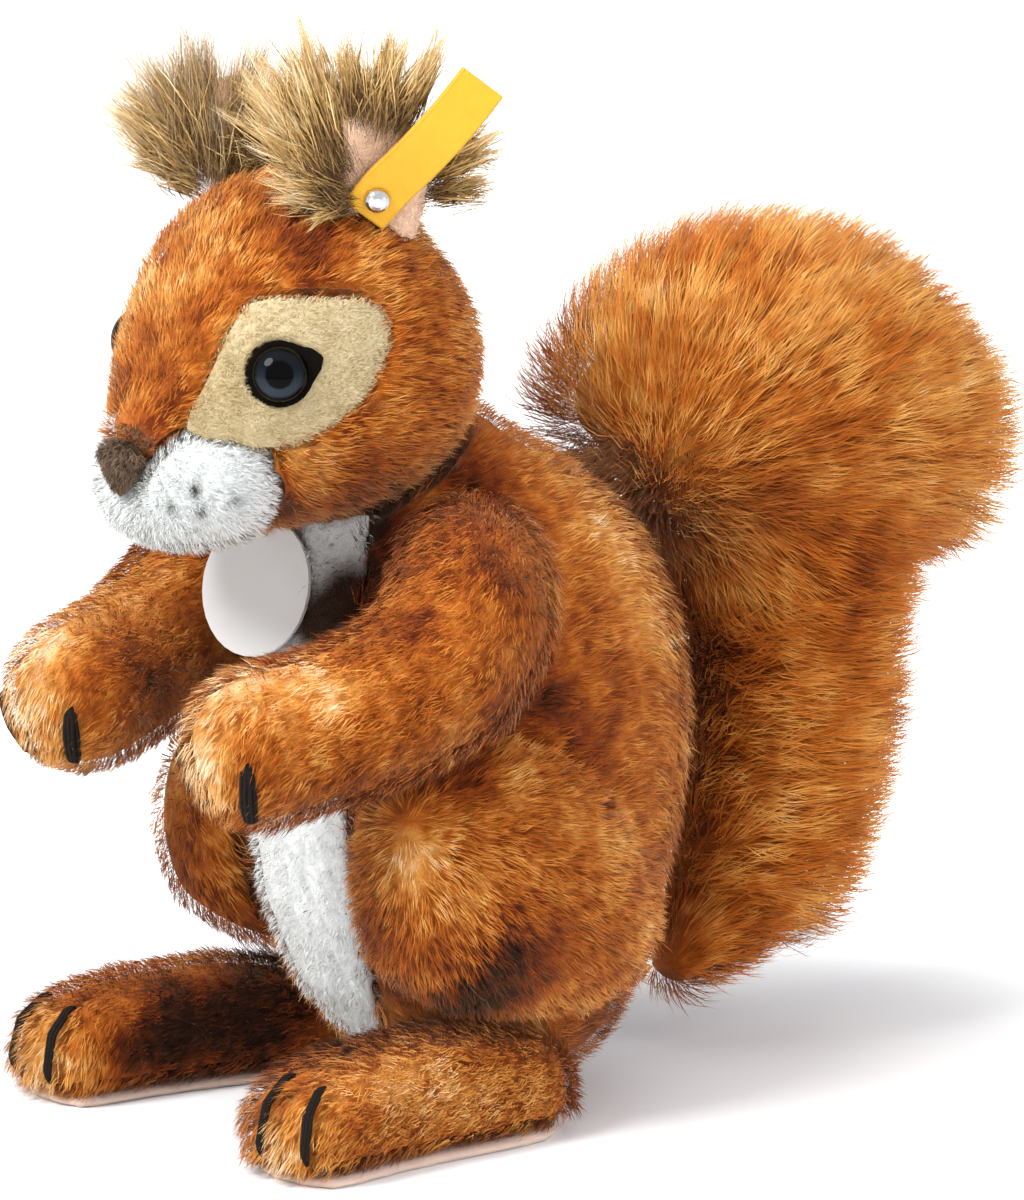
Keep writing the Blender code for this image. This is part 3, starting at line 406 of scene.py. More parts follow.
def outside(points, tree, margin):
    """Which points stand at least margin outside the solids of a tree."""
    found = np.empty(len(points), bool)
    for i, point in enumerate(points):
        spot = Vector(point)
        near, normal, _, distance = tree.find_nearest(spot)
        # Close to an edge the nearest face alone can't tell which side a point is on.
        within = (spot - near).dot(normal) < 0 and enclosed(spot, tree)
        found[i] = (-distance if within else distance) > margin
    return found


def scatter(obj, count, chance):
    """Points spread evenly over a mesh, each with its smooth normal."""
    mesh = obj.data
    mesh.calc_loop_triangles()
    corners = np.empty(len(mesh.loop_triangles) * 3, np.int32)
    mesh.loop_triangles.foreach_get("vertices", corners)
    corners = corners.reshape(-1, 3)
    points, normals = points_of(obj), normals_of(obj)
    a, b, c = (points[corners[:, i]] for i in range(3))
    area = np.linalg.norm(np.cross(b - a, c - a), axis=1)
    pick = corners[chance.choice(len(corners), count, p=area / area.sum())]
    u = np.sqrt(chance.random(count))
    v = chance.random(count)
    weights = np.stack([1 - u, u * (1 - v), u * v], axis=1)[:, :, None]
    normal = (normals[pick] * weights).sum(1)
    return (points[pick] * weights).sum(1), normal / np.linalg.norm(normal, axis=1, keepdims=True)


def unit(rows):
    return rows / np.maximum(np.linalg.norm(rows, axis=1, keepdims=True), 1e-9)


def step(values, low, high):
    """0 below low, 1 above high, smooth between."""
    share = np.clip((values - low) / (high - low), 0, 1)
    return share * share * (3 - 2 * share)


FLOOR_CLEAR = 0.1
LEAN_STRAY = 10  # degrees by which the locks of a pile lean differently
UPRIGHT_BY = 26  # degrees that the stray hairs stand up from the rest
LOCK_TWIST = 0.45  # how far a lock turns about its own length, in radians
LOCK_WIDTHS = (0.75, 1.25)
LOCK_TAPER = 0.8  # width at the second joint and above
WISP = 9  # hairs in one pointed wisp of a fan
WISP_REACH = (0.62, 1.08)  # length of a wisp as a share of the fan's, and of a hair as a share of its wisp's
HAIR_REACH = (0.72, 1.0)
WISP_BEND = 0.07
WISP_TONES = 0.07
HAIR_SPREAD = 0.13  # how far a hair strays from its wisp at the tip and halfway, as shares of the width
HAIR_LOOSE = 0.12
CROWN = np.array((0.0, -50.0, 172.0)) * MM  # middle of the crown, from which the ears' hair faces out
STRAY_SHINE = 0.22  # how far a lock's shine strays from that of the skin it grows on


class Pile:
    """Locks of pile or hair: each is a narrow pointed leaf that bends over from its root."""

    def __init__(self, seed):
        self.chance = np.random.default_rng(sizes().seed * 1000 + seed)
        self.roots = np.empty((0, 3))
        self.normals = np.empty((0, 3))
        self.shade = np.empty(0)

    def sow(self, skin, count, nap, clear=(), margin=0.7, where=None, overlapped=()):
        """Sets roots all over a skin, but not under its neighbours. overlapped names each piece that the
        pile overlaps, and how deep under it the pile's tips may start."""
        roots, normals = scatter(skin, int(count * sizes().fullness), self.chance)
        if where:
            chosen = where(roots, normals)
            roots, normals = roots[chosen], normals[chosen]
        if clear:
            free = outside(roots + normals * nap, tree_of(clear), margin * MM)
            roots, normals = roots[free], normals[free]
        for node, depth in overlapped:
            free = outside(roots + normals * nap, tree_of([node]), -depth * MM)
            roots, normals = roots[free], normals[free]
        self.roots = np.concatenate([self.roots, roots])
        self.normals = np.concatenate([self.normals, normals])
        self.shade = np.full(len(self.roots), 0.5)
        return self

    def paint(self, spots):
        self.shade = airbrush(self.roots, spots)
        return self

    def burst(self, pivot, low, high):
        """Draws the roots in towards a pivot, to between a low and a high share of their distance from it,
        and stands every lock away from it."""
        out = self.roots - pivot
        self.normals = unit(out)
        self.roots = pivot + out * self.chance.uniform(low, high, (len(out), 1))
        return self

    def comb(self, flow, length, upright, fallen, ruffle=0.35, joints=1, vary=0.25, strays=0.0):
        """Lays each lock along the flow. upright and fallen are its lean off the skin at the root and
        the tip, in degrees, and strays the share of them that stands up more."""
        count = len(self.roots)
        n = self.normals
        along = unit(flow(self.roots))
        along = unit(along - n * (along * n).sum(1, keepdims=True) + 1e-6)
        side = np.cross(n, along)
        turn = self.chance.normal(0, ruffle, (count, 1))
        along = along * np.cos(turn) + side * np.sin(turn)
        reach = length * (1 + self.chance.uniform(-vary, vary, (count, 1)))
        extra = self.chance.normal(0, LEAN_STRAY, (count, 1))
        extra = extra - UPRIGHT_BY * (self.chance.random((count, 1)) < strays)
        spots = [self.roots]
        for k in range(joints + 1):
            lean = np.radians(upright + (fallen - upright) * k / joints + extra)
            spots.append(spots[-1] + (n * np.cos(lean) + along * np.sin(lean)) * reach / (joints + 1))
        self.spots = np.stack(spots)
        self.across = np.cross(unit(self.spots[-1] - self.roots), n)
        return self

    def fan(self, start, end, thick, wide, count, tone):
        """Adds a fan of long hair from one place to another, in pointed wisps: thick at its foot and wide
        at its tips."""
        count = max(4, int(count * sizes().fullness))
        chance = self.chance
        wisps = max(3, count // WISP)
        which = chance.integers(0, wisps, count)
        aims = (end - start + chance.normal(0, wide, (wisps, 3))) * chance.uniform(*WISP_REACH, (wisps, 1))
        bend = np.cross(aims, chance.normal(0, 1, (wisps, 3)))
        bend = unit(bend) * np.linalg.norm(aims, axis=1, keepdims=True)
        bend = bend * chance.normal(0, WISP_BEND, (wisps, 1))
        roots = start + chance.normal(0, thick / 2, (count, 3))
        tips = start + aims[which] * chance.uniform(*HAIR_REACH, (count, 1))
        tips += chance.normal(0, wide * HAIR_SPREAD, (count, 3))
        spots = []
        for share in (0, 1 / 3, 2 / 3, 1):
            bulge = math.sin(math.pi * share)
            loose = chance.normal(0, wide * HAIR_LOOSE * bulge, (count, 3)) if 0 < share < 1 else 0
            spots.append(roots + (tips - roots) * share + bend[which] * bulge + loose)
        out = unit(np.cross(np.cross(tips - roots, roots - CROWN), tips - roots))
        self.spots = np.concatenate([self.spots, spots], axis=1) if len(self.roots) else np.stack(spots)
        self.roots = np.concatenate([self.roots, roots])
        self.normals = np.concatenate([self.normals, out])
        self.across = np.cross(unit(self.spots[-1] - self.roots), self.normals)
        tones = tone + chance.normal(0, WISP_TONES, wisps)
        self.shade = np.concatenate([self.shade, tones[which]])
        return self

    def gather(self, spacing, strength):
        """Draws neighbouring locks together towards their tips."""
        count = len(self.roots)
        leaders = self.chance.choice(count, max(1, int(count * spacing)), replace=False)
        tree = KDTree(len(leaders))
        for i, leader in enumerate(leaders):
            tree.insert(self.spots[0][leader], i)
        tree.balance()
        lead = np.array([leaders[tree.find(spot)[1]] for spot in self.spots[0]])
        for k in range(1, len(self.spots)):
            pull = strength * (k / (len(self.spots) - 1)) ** 1.3
            self.spots[k] += (self.spots[k][lead] - self.spots[k]) * pull
        return self

    def part_round(self, nodes, margin):
        """Takes out the locks that would lie over these nodes."""
        tree = tree_of(nodes)
        free = np.ones(len(self.roots), bool)
        halfway = (self.spots[1:] + self.spots[:-1]) / 2
        for spots in (*self.spots, *halfway):
            free &= outside(spots, tree, margin * MM)
        self.keep(free)
        return self

    def keep(self, chosen):
        self.spots = self.spots[:, chosen]
        for key in ("across", "roots", "normals", "shade"):
            setattr(self, key, getattr(self, key)[chosen])

    def weave(self, name, width, material, slot):
        """Makes the mesh, with each lock's own tone, its share along the lock and a cell for baking."""
        joints = len(self.spots) - 2
        count = len(self.roots)
        if not count:
            raise RuntimeError(name + " has no locks left")
        twist = self.chance.normal(0, LOCK_TWIST, (count, 1))
        across = unit(self.across)
        across = across * np.cos(twist) + self.normals * np.sin(twist)
        wide = width * self.chance.uniform(*LOCK_WIDTHS, (count, 1)) / 2
        rows, along, flat = [self.roots], [0.0], [(0.5, 0.04)]
        for k in range(1, joints + 1):
            taper = 1.0 if k == 1 else LOCK_TAPER
            share = k / (joints + 1)
            rows += [self.spots[k] - across * wide * taper, self.spots[k] + across * wide * taper]
            along += [share, share]
            flat += [(0.12, 0.04 + 0.92 * share), (0.88, 0.04 + 0.92 * share)]
        rows.append(self.spots[-1])
        along.append(1.0)
        flat.append((0.5, 0.96))
        each = len(rows)
        points = np.stack(rows, axis=1).reshape(-1, 3)
        points[:, 2] = np.maximum(points[:, 2], FLOOR_CLEAR * MM)
        faces = [(0, 2, 1)]
        for k in range(joints - 1):
            a, b, c, d = 1 + 2 * k, 2 + 2 * k, 3 + 2 * k, 4 + 2 * k
            faces += [(a, b, d), (a, d, c)]
        faces.append((each - 3, each - 2, each - 1))
        corners = (np.array(faces)[None] + each * np.arange(count)[:, None, None]).reshape(-1, 3)
        mesh = bpy.data.meshes.new(name)
        mesh.vertices.add(len(points))
        mesh.vertices.foreach_set("co", points.astype(np.float32).ravel())
        mesh.loops.add(corners.size)
        mesh.loops.foreach_set("vertex_index", corners.astype(np.int32).ravel())
        mesh.polygons.add(len(corners))
        mesh.polygons.foreach_set("loop_start", np.arange(0, corners.size, 3, dtype=np.int32))
        mesh.update(calc_edges=True)
        set_attribute(mesh, "tone", np.repeat(self.chance.random(count), each))
        set_attribute(mesh, "shade", np.repeat(self.shade, each))
        set_attribute(mesh, "along", np.tile(along, count))
        soft = unit(self.normals + self.chance.normal(0, STRAY_SHINE, self.normals.shape))
        mesh.normals_split_custom_set_from_vertices(np.repeat(soft, each, axis=0))
        grid = math.ceil(math.sqrt(count))
        cell = np.stack([np.arange(count) % grid, np.arange(count) // grid], axis=1)
        uv = (cell[:, None] + np.array(flat)[None]).reshape(-1, 2) / grid
        made = mesh.uv_layers.new(name="OFBake")
        made.data.foreach_set("uv", uv[corners.ravel()].astype(np.float32).ravel())
        obj = bpy.data.objects.new(name, mesh)
        bpy.context.scene.collection.objects.link(obj)
        mesh.materials.append(material)
        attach(obj, "root")
        return obj


# How the pile lies, as a direction at each root.


def head_flow(p):
    """Back from the nose over the brow and cheeks."""
    flow = unit(p - np.array([0, -0.106, 0.134]))
    flow[:, 2] -= 0.25 + 0.5 * step(p[:, 1], -0.06, -0.03)
    return flow


def torso_flow(p):
    """Back round the sides and down the middle of the back."""
    back = step(p[:, 1], -0.012, 0.016)
    return np.stack([p[:, 0] * 4, 1.0 - 0.8 * back, 0.22 - 1.1 * back], axis=1)


def belly_flow(p):
    return np.stack([p[:, 0] * 10, np.zeros(len(p)), np.full(len(p), -1.0)], axis=1)


def arm_flow(p):
    """Down the upper arm, along the forearm and over the paw."""
    forearm = step(-p[:, 1], 0.045, 0.062)[:, None]
    paw = step(-p[:, 1], 0.092, 0.104)[:, None]
    upper = np.array([[0.0, -0.45, -0.9]])
    lower = np.array([[0.0, -1.0, -0.3]])
    over = np.array([[0.0, -0.3, -1.0]])
    return (upper * (1 - forearm) + lower * forearm) * (1 - paw) + over * paw


def haunch_flow(p):
    """Down and back over the thigh, opening out from the knee."""
    knee = np.stack([np.sign(p[:, 0]) * 0.046, np.full(len(p), -0.066), np.full(len(p), 0.062)], axis=1)
    return (p - knee) / 0.016 + np.array([[0.0, 0.5, -0.7]])


def foot_flow(p):
    toes = step(-p[:, 1], 0.078, 0.094)[:, None]
    return np.array([[0.0, -1.0, -0.12]]) * (1 - toes) + np.array([[0.0, -0.4, -1.0]]) * toes


def tail_flow(p):
    """Away from the body along the brush, and out from the inside of the bend over the whole curl."""
    curl = step(p[:, 2], 0.086, 0.116)[:, None]
    bend = np.array([[0.0, 0.026, 0.12]])
    back = np.stack([p[:, 0] * 2, np.full(len(p), 1.0), np.full(len(p), 0.12)], axis=1)
    return back * (1 - curl) + unit(p - bend) * curl


def down_flow(p):
    return np.array([[0.0, 0.0, -1.0]]).repeat(len(p), 0)


# Airbrushing and painted light. Each spot is a place on the left side, which the right side mirrors, a
# radius, and how far it shifts the pile along its colours. Besides the plush's own airbrushing, the spots
# hold painted shade in creases, under limbs and where pieces meet, and painted highlights on lit crests.

PAINT = {
    # On the head: the darker undersides of the cheeks are painted shade, and the lighter brow and cheeks
    # under the eyes are partly painted highlights.
    "head": (
        ((3, -91, 172), 11, 0.1), ((8, -101, 151), 6, -0.16), ((14, -96, 153), 6, -0.16),
        ((21, -76, 180), 7, -0.32), ((31, -55, 158), 12, -0.06), ((28, -77, 140), 7, 0.24),
        ((20, -90, 131), 6, -0.1), ((27, -62, 127), 8, -0.4), ((18, -70, 124), 8, -0.3),
    ),
    # On the torso: painted shade in the creases under the cheeks, beside the belly, under the arms, between
    # the legs and low down by the floor, and a lighter strip along the back that is partly a painted
    # highlight.
    "torso": (
        ((14, -56, 123), 9, -0.55), ((25, -38, 133), 8, -0.36), ((20, -60, 108), 9, -0.5),
        ((27, -8, 120), 9, 0.24), ((27, 4, 108), 9, 0.26), ((38, -36, 90), 13, -0.45),
        ((38, -18, 79), 10, -0.2), ((33, 2, 84), 12, 0.0), ((24, 14, 62), 16, 0.0),
        ((24, -64, 72), 8, -0.35), ((20, -58, 38), 11, -0.4), ((30, -5, 20), 13, -0.25),
    ),
    # On the belly: the top beside the disc is painted dark, painted shade and the brown of the body's pile
    # that hangs over it.
    "belly_panel": (
        ((13, -58, 108), 9, -0.6), ((5, -62, 101), 6, -0.5), ((16, -60, 92), 6, -0.5),
    ),
    # On the arms: painted shade at the shoulders, under the elbows and on the inner sides, and lighter
    # forearms and paws that are partly painted highlights.
    "arm": (
        ((22, -48, 128), 9, -0.45), ((33, -60, 119), 7, -0.25), ((48, -66, 112), 5, -0.28),
        ((58, -54, 107), 8, 0.1), ((54, -38, 104), 9, -0.14), ((57, -51, 93), 6, -0.36),
        ((52, -38, 90), 9, -0.4), ((36, -84, 104), 7, 0.3), ((46, -86, 98), 7, 0.32),
        ((32, -98, 99), 8, 0.4), ((29, -107, 87), 9, 0.4), ((36, -106, 78), 6, 0.14),
        ((25, -101, 74), 6, 0.2), ((49, -80, 81), 8, -0.24), ((48, -68, 82), 7, -0.12),
        ((17, -80, 86), 9, -0.22), ((15, -70, 98), 8, -0.1), ((54, -50, 119), 10, -0.22),
    ),
    # On the haunches: the pale knee is partly a painted highlight, and the darker undersides and the creases
    # beside the belly are painted shade.
    "haunch": (
        ((45, -66, 62), 8, 0.3), ((37, -69, 47), 6, -0.34), ((30, -70, 58), 5, -0.2),
        ((43, -56, 77), 7, -0.26), ((50, -47, 41), 9, -0.34), ((44, -50, 31), 9, -0.5),
        ((51, -35, 45), 9, -0.14), ((50, -24, 60), 12, 0.08), ((30, -66, 34), 8, -0.3),
    ),
    # On the feet: the dark inner sides are painted shade, and the lighter tops and toes are partly painted
    # highlights.
    "foot": (
        ((47, -60, 16), 10, 0.34), ((46, -72, 19), 7, 0.2), ((40, -94, 8), 8, 0.3),
        ((33, -90, 20), 8, 0.14), ((45, -34, 15), 11, 0.12), ((27, -84, 11), 6, -0.3),
        ((25, -70, 12), 9, -0.5), ((24, -54, 15), 12, -0.7), ((30, -74, 17), 9, -0.26),
        ((34, -84, 22), 4, -0.2),
    ),
    # On the tail: painted shade where it meets the body and inside the bend, and lighter front and outer
    # edges of the curl that are partly painted light.
    "tail": (
        ((0, 22, 100), 11, -0.3), ((8, 27, 84), 11, -0.34), ((8, 22, 50), 12, -0.34),
        ((8, 20, 16), 10, -0.15), ((28, 36, 116), 12, -0.22), ((26, 52, 106), 11, -0.3),
        ((14, 52, 170), 22, 0.06), ((4, 26, 140), 15, 0.2), ((28, 90, 130), 18, 0.14),
        ((14, 100, 110), 16, 0.1), ((24, 66, 60), 14, 0.04),
    ),
    "muzzle": (
        ((17, -97.6, 134), 1.4, -0.6), ((13, -100.4, 130.4), 1.3, -0.6), ((17.6, -96.5, 129.7), 1.3, -0.55),
        ((21, -90.7, 132), 1.6, -0.3),
    ),
    "eye_patch": (
        ((17, -94, 150), 9, -0.2), ((24, -82, 156), 8, -0.1),
    ),
}


# The pieces.


def furred(node, voxel, locks, flow, clear, seed, parts=(), margin=-0.6, overlapped=(), tucked=()):
    """A stuffed piece of the body's own plush, and its pile."""
    s, c = sizes(), colours()
    spots = PAINT[node.split("_")[0]]
    stops = even_stops(c.soot, c.rust, c.ginger, c.golden, c.straw)
    skin = stuffed(node, "stuffed", voxel, s.body_nap)
    if tucked:
        tuck(skin, *tucked)
    back_with(skin, pile_finish(node + "_backing", stops, BODY_PATCH), spots)
    pile = Pile(seed).sow(skin, locks, s.body_nap, clear, margin, None, overlapped)
    pile.paint(spots)
    pile.comb(flow, s.body_pile, upright=34, fallen=72, ruffle=0.3, strays=0.14)
    pile.gather(spacing=0.08, strength=0.36)
    if parts:
        pile.part_round(parts, margin=0.1)
    return pile.weave(node + "_pile", s.strand, pile_finish(node + "_pile", stops, BODY_PATCH).material,
                      "rust_plush")


class SQUIRREL_OT_torso(bpy.types.Operator):
    """Stuff the torso and set its pile"""
    bl_idname = "squirrel.torso"
    bl_label = "Torso"

    def execute(self, context):
        clear = ("belly_panel", "head", "arm_left", "arm_right", "haunch_left", "haunch_right", "tail")
        furred("torso", voxel=2.8, locks=42500, flow=torso_flow, clear=clear, seed=1)
        return {"FINISHED"}


class SQUIRREL_OT_head(bpy.types.Operator):
    """Stuff the head and set its pile"""
    bl_idname = "squirrel.head"
    bl_label = "Head"

    def execute(self, context):
        clear = ("eye_patch_left", "eye_patch_right", "eye_rim_left", "eye_rim_right", "torso", "arm_left",
                 "arm_right", "ear_left", "ear_right")
        furred("head", voxel=1.9, locks=43500, flow=head_flow, clear=clear, seed=2,
               parts=("eye_rim_left", "eye_rim_right"), overlapped=(("muzzle", 2.4), ("nose", 5.0)),
               tucked=(("muzzle",), ("eye_patch_left", "eye_patch_right")))
        return {"FINISHED"}


class SQUIRREL_OT_arms(bpy.types.Operator):
    """Stuff both arms and set their pile"""
    bl_idname = "squirrel.arms"
    bl_label = "Arms"

    def execute(self, context):
        for word, side in SIDES:
            claws = [f"paw_claw_{word}_{i}" for i in (1, 2)]
            clear = ("torso", "head", "haunch_" + word, *claws)
            furred("arm_" + word, voxel=1.9, locks=20500, flow=arm_flow, clear=clear, seed=3 + side,
                   parts=claws)
        return {"FINISHED"}


class SQUIRREL_OT_haunches(bpy.types.Operator):
    """Stuff both haunches and set their pile"""
    bl_idname = "squirrel.haunches"
    bl_label = "Haunches"

    def execute(self, context):
        for word, side in SIDES:
            clear = ("torso", "arm_" + word, "foot_" + word)
            furred("haunch_" + word, voxel=2.0, locks=19000, flow=haunch_flow, clear=clear, seed=7 + side)
        return {"FINISHED"}


class SQUIRREL_OT_feet(bpy.types.Operator):
    """Stuff both feet, set their pile and lay the felt soles"""
    bl_idname = "squirrel.feet"
    bl_label = "Feet"

    def execute(self, context):
        for word, side in SIDES:
            claws = [f"foot_claw_{word}_{i}" for i in (1, 2)]
            clear = ("torso", "haunch_" + word, "sole_" + word, *claws)
            furred("foot_" + word, voxel=1.6, locks=16000, flow=foot_flow, clear=clear, seed=11 + side,
                   parts=claws)
            sole = stuffed("sole_" + word, "felt", voxel=1.1, inset=0, rounds=1)
            dress(sole, felt_finish("sole_" + word))
        return {"FINISHED"}


def felt_finish(name):
    felt = colours().felt
    finish = speckled(name, 0.95, (2.0, 5.0, 0.7), shaded(felt, 0.82), shaded(felt, 1.12), Sheen_Weight=0.3)
    finish.bump(finish.noise(0.3, 4.0, 0.8), 0.25)
    return finish.material


TAIL_WAIST = 0.103  # height at which the curl starts, in metres, and how far up and back the foot reaches
TAIL_FOOT_TOP = 0.034
TAIL_FOOT_BACK = 0.05


class SQUIRREL_OT_tail(bpy.types.Operator):
    """Stuff the tail and set its long pile"""
    bl_idname = "squirrel.tail"
    bl_label = "Tail"

    def execute(self, context):
        s, c = sizes(), colours()
        stops = even_stops(c.soot, c.tail_deep, c.tail, c.tail_tip, c.straw)
        skin = stuffed("tail", "stuffed", voxel=2.6, inset=s.tail_nap, rounds=10)
        back_with(skin, pile_finish("tail_backing", stops, TAIL_PATCH), PAINT["tail"])
        finish = pile_finish("tail_pile", stops, TAIL_PATCH)
        def foot(p, n):
            """The foot of the brush, whose pile lies flat so that none sticks out under the body."""
            low = (p[:, 2] < TAIL_FOOT_TOP) & (p[:, 1] < TAIL_FOOT_BACK)
            return low & ((n[:, 2] < -0.2) | (n[:, 1] < -0.25))

        def brush(p, n):
            return (p[:, 2] < TAIL_WAIST) & ~foot(p, n)

        def curl(p, n):
            return p[:, 2] >= TAIL_WAIST

        for seed, name, part, reach, upright, fallen in (
                (21, "tail_pile_brush", brush, 1.0, 16, 62),
                (22, "tail_pile_curl", curl, 1.0, 16, 62),
                (23, "tail_pile_foot", foot, 0.6, 66, 88)):
            pile = Pile(seed).sow(skin, 51000, s.tail_nap, ("torso",), -3.0, part).paint(PAINT["tail"])
            pile.comb(tail_flow, s.tail_pile * reach, upright, fallen, joints=2, vary=0.3)
            pile.gather(spacing=0.06, strength=0.42)
            pile.weave(name, s.strand, finish.material, "tail_plush")
        return {"FINISHED"}


class SQUIRREL_OT_pale_plush(bpy.types.Operator):
    """Set the short white and beige pile of the muzzle, the belly and the patches round the eyes"""
    bl_idname = "squirrel.pale_plush"
    bl_label = "Muzzle, belly and eye patches"

    def execute(self, context):
        s, c = sizes(), colours()
        # The dark brown and the greys low on these stops are painted shade: deep in the pile, and on the top
        # of the belly beside the disc, where the body's pile also hangs over it.
        stops = [(0.0, dye("2E1A12")), (0.12, dye("77736E")), (0.3, dye("BEC2C3")), (0.5, c.white),
                 (1.0, dye("F2F4F4"))]
        for node, voxel, nap, locks, clear, flow, seed in (
                ("muzzle", 1.2, 0.6, 15000, ("nose",), head_flow, 31),
                ("belly_panel", 1.3, 0.3, 15000, ("torso", "head"), belly_flow, 32)):
            spots = PAINT[node]
            skin = stuffed(node, "stuffed", voxel, nap * MM, rounds=3)
            back_with(skin, pile_finish(node + "_backing", stops, 5.0, 0.1, 0.1), spots, 0.8)
            pile = Pile(seed).sow(skin, locks, nap * MM, clear, 0.15).paint(spots)
            pile.comb(flow, s.short_pile, upright=22, fallen=60, ruffle=0.7, strays=0.1).gather(0.1, 0.3)
            if node == "muzzle":
                pile.part_round(("nose",), margin=0.0)
            finish = pile_finish(node + "_pile", stops, 5.0, 0.1, 0.16, 0.06)
            pile.weave(node + "_pile", s.strand * 0.9, finish.material, "white_plush")
        stops = even_stops(c.khaki, c.beige, dye("E0D6BE"))
        nap = 0.2 * MM
        for word, side in SIDES:
            node = "eye_patch_" + word
            skin = stuffed(node, "stuffed", voxel=0.8, inset=nap, rounds=3)
            finish = pile_finish(node + "_backing", stops, 4.0)
            back_with(skin, finish, PAINT["eye_patch"], depth=0.5)
            pile = Pile(34 + side).sow(skin, 13000, nap, ("head", "muzzle", "eye_rim_" + word), margin=0.1)
            pile.paint(PAINT["eye_patch"])
            pile.comb(head_flow, s.shorn_pile, upright=30, fallen=62, ruffle=0.7).gather(0.1, 0.3)
            pile.part_round(("eye_rim_" + word,), margin=0.1)
            finish = pile_finish(node + "_pile", stops, 4.0, 0.7, 0.3)
            pile.weave(node + "_pile", s.strand * 0.75, finish.material, "beige_plush")
        return {"FINISHED"}


NOSE_PILE = 1.9


class SQUIRREL_OT_nose(bpy.types.Operator):
    """Set the dark shorn pile of the nose"""
    bl_idname = "squirrel.nose"
    bl_label = "Nose"

    def execute(self, context):
        s, c = sizes(), colours()
        stops = even_stops(dye("1F1511"), dye("3E3028"), c.nose, dye("9C8874"))
        skin = stuffed("nose", "stuffed", voxel=0.5, inset=1.5 * MM, rounds=4)
        back_with(skin, pile_finish("nose_backing", stops, 3.0))
        pile = Pile(37).sow(skin, 4800, 0.0, ("head", "muzzle"), -0.4)
        pile.comb(down_flow, NOSE_PILE * MM, upright=34, fallen=70, ruffle=0.5, strays=0.15).gather(0.1, 0.3)
        pile.weave("nose_pile", s.strand * 0.9, pile_finish("nose_pile", stops, 3.0).material, "nose_plush")
        return {"FINISHED"}


EYE_AZIMUTH = 54.0
EYE_TILT = 8.0
EYE_RADIUS = 5.4
EYE_DOME = 3.8
EYE_BACK = 0.12  # how far behind its widest part the dome is cut off, as a share of its height
PUPIL_EDGE = (0.46, 0.56)  # as shares of the eye's radius
IRIS_EDGE = (0.76, 0.9)


def facing(azimuth, tilt):
    """A turn whose z axis looks out along an azimuth from straight ahead, with y upwards."""
    a, e = math.radians(azimuth), math.radians(tilt)
    out = Vector((math.sin(a) * math.cos(e), -math.cos(a) * math.cos(e), math.sin(e)))
    right = Vector((math.cos(a), math.sin(a), 0))
    return Matrix((right, out.cross(right), out)).transposed()


class SQUIRREL_OT_eyes(bpy.types.Operator):
    """Glaze the eyes and cut their felt rims"""
    bl_idname = "squirrel.eyes"
    bl_label = "Eyes"

    def execute(self, context):
        glaze = Finish("eye_glaze", 0.03, Specular_IOR_Level=0.07)
        ring, height = glaze.attribute("ring"), glaze.attribute("height")
        # Painted light: the iris is lighter towards its bottom and darker towards its top.
        iris = height.between(-0.75, 0.35).mix(dye("2C353E"), dye("0E1216"))
        iris = ring.between(*PUPIL_EDGE).mix(dye("020203"), iris)
        glaze.set("Base Color", ring.between(*IRIS_EDGE).mix(iris, dye("030304")))
        felt = speckled("eye_felt", 0.95, (0.8,), dye("060504"), dye("15110E"), Specular_IOR_Level=0.05)
        felt.bump(felt.noise(0.25, 4.0, 0.8), 0.2)
        for word, side in SIDES:
            turn = facing(side * EYE_AZIMUTH, EYE_TILT)
            out = turn @ Vector((0, 0, 1))
            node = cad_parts["eye_" + word]
            apex = max((v.co for v in node.data.vertices), key=out.dot)
            middle = apex - out * EYE_DOME * MM
            bpy.ops.object.select_all(action="DESELECT")
            bpy.ops.mesh.primitive_uv_sphere_add(segments=64, ring_count=32, radius=1.0)
            eye = bpy.context.object
            eye.name = "eye_" + word + "_glass"
            bpy.ops.object.mode_set(mode="EDIT")
            bpy.ops.mesh.select_all(action="SELECT")
            bpy.ops.mesh.bisect(plane_co=(0, 0, -EYE_BACK), plane_no=(0, 0, 1), use_fill=True,
                                clear_inner=True)
            bpy.ops.object.mode_set(mode="OBJECT")
            points = points_of(eye)
            ring_share = np.hypot(points[:, 0], points[:, 1])
            set_attribute(eye.data, "ring", ring_share)
            set_attribute(eye.data, "height", points[:, 1])
            size = Vector((EYE_RADIUS, EYE_RADIUS, EYE_DOME)) * MM
            eye.data.transform(Matrix.Translation(middle) @ turn.to_4x4() @ Matrix.Diagonal((*size, 1)))
            eye.data.shade_smooth()
            dress(eye, glaze.material)
            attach(eye, "root")
            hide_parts("eye_" + word)
            rim = stuffed("eye_rim_" + word, "felt", voxel=0.45, inset=0, rounds=1)
            dress(rim, felt.material)
        return {"FINISHED"}


EAR_BASE = Vector((20.0, -57.0, 178.0))
EAR_AZIMUTH = 60.0
EAR_LEAN = 14.0
TUFT_HEART = Vector((-3.0, 4.0, -6.0))
TUFT_COAT = 8.0  # the short hair under the fans
TUFT_COAT_SHADE = 0.16  # how much darker it is: painted shade under the fans
EAR_FUZZ = 1.3
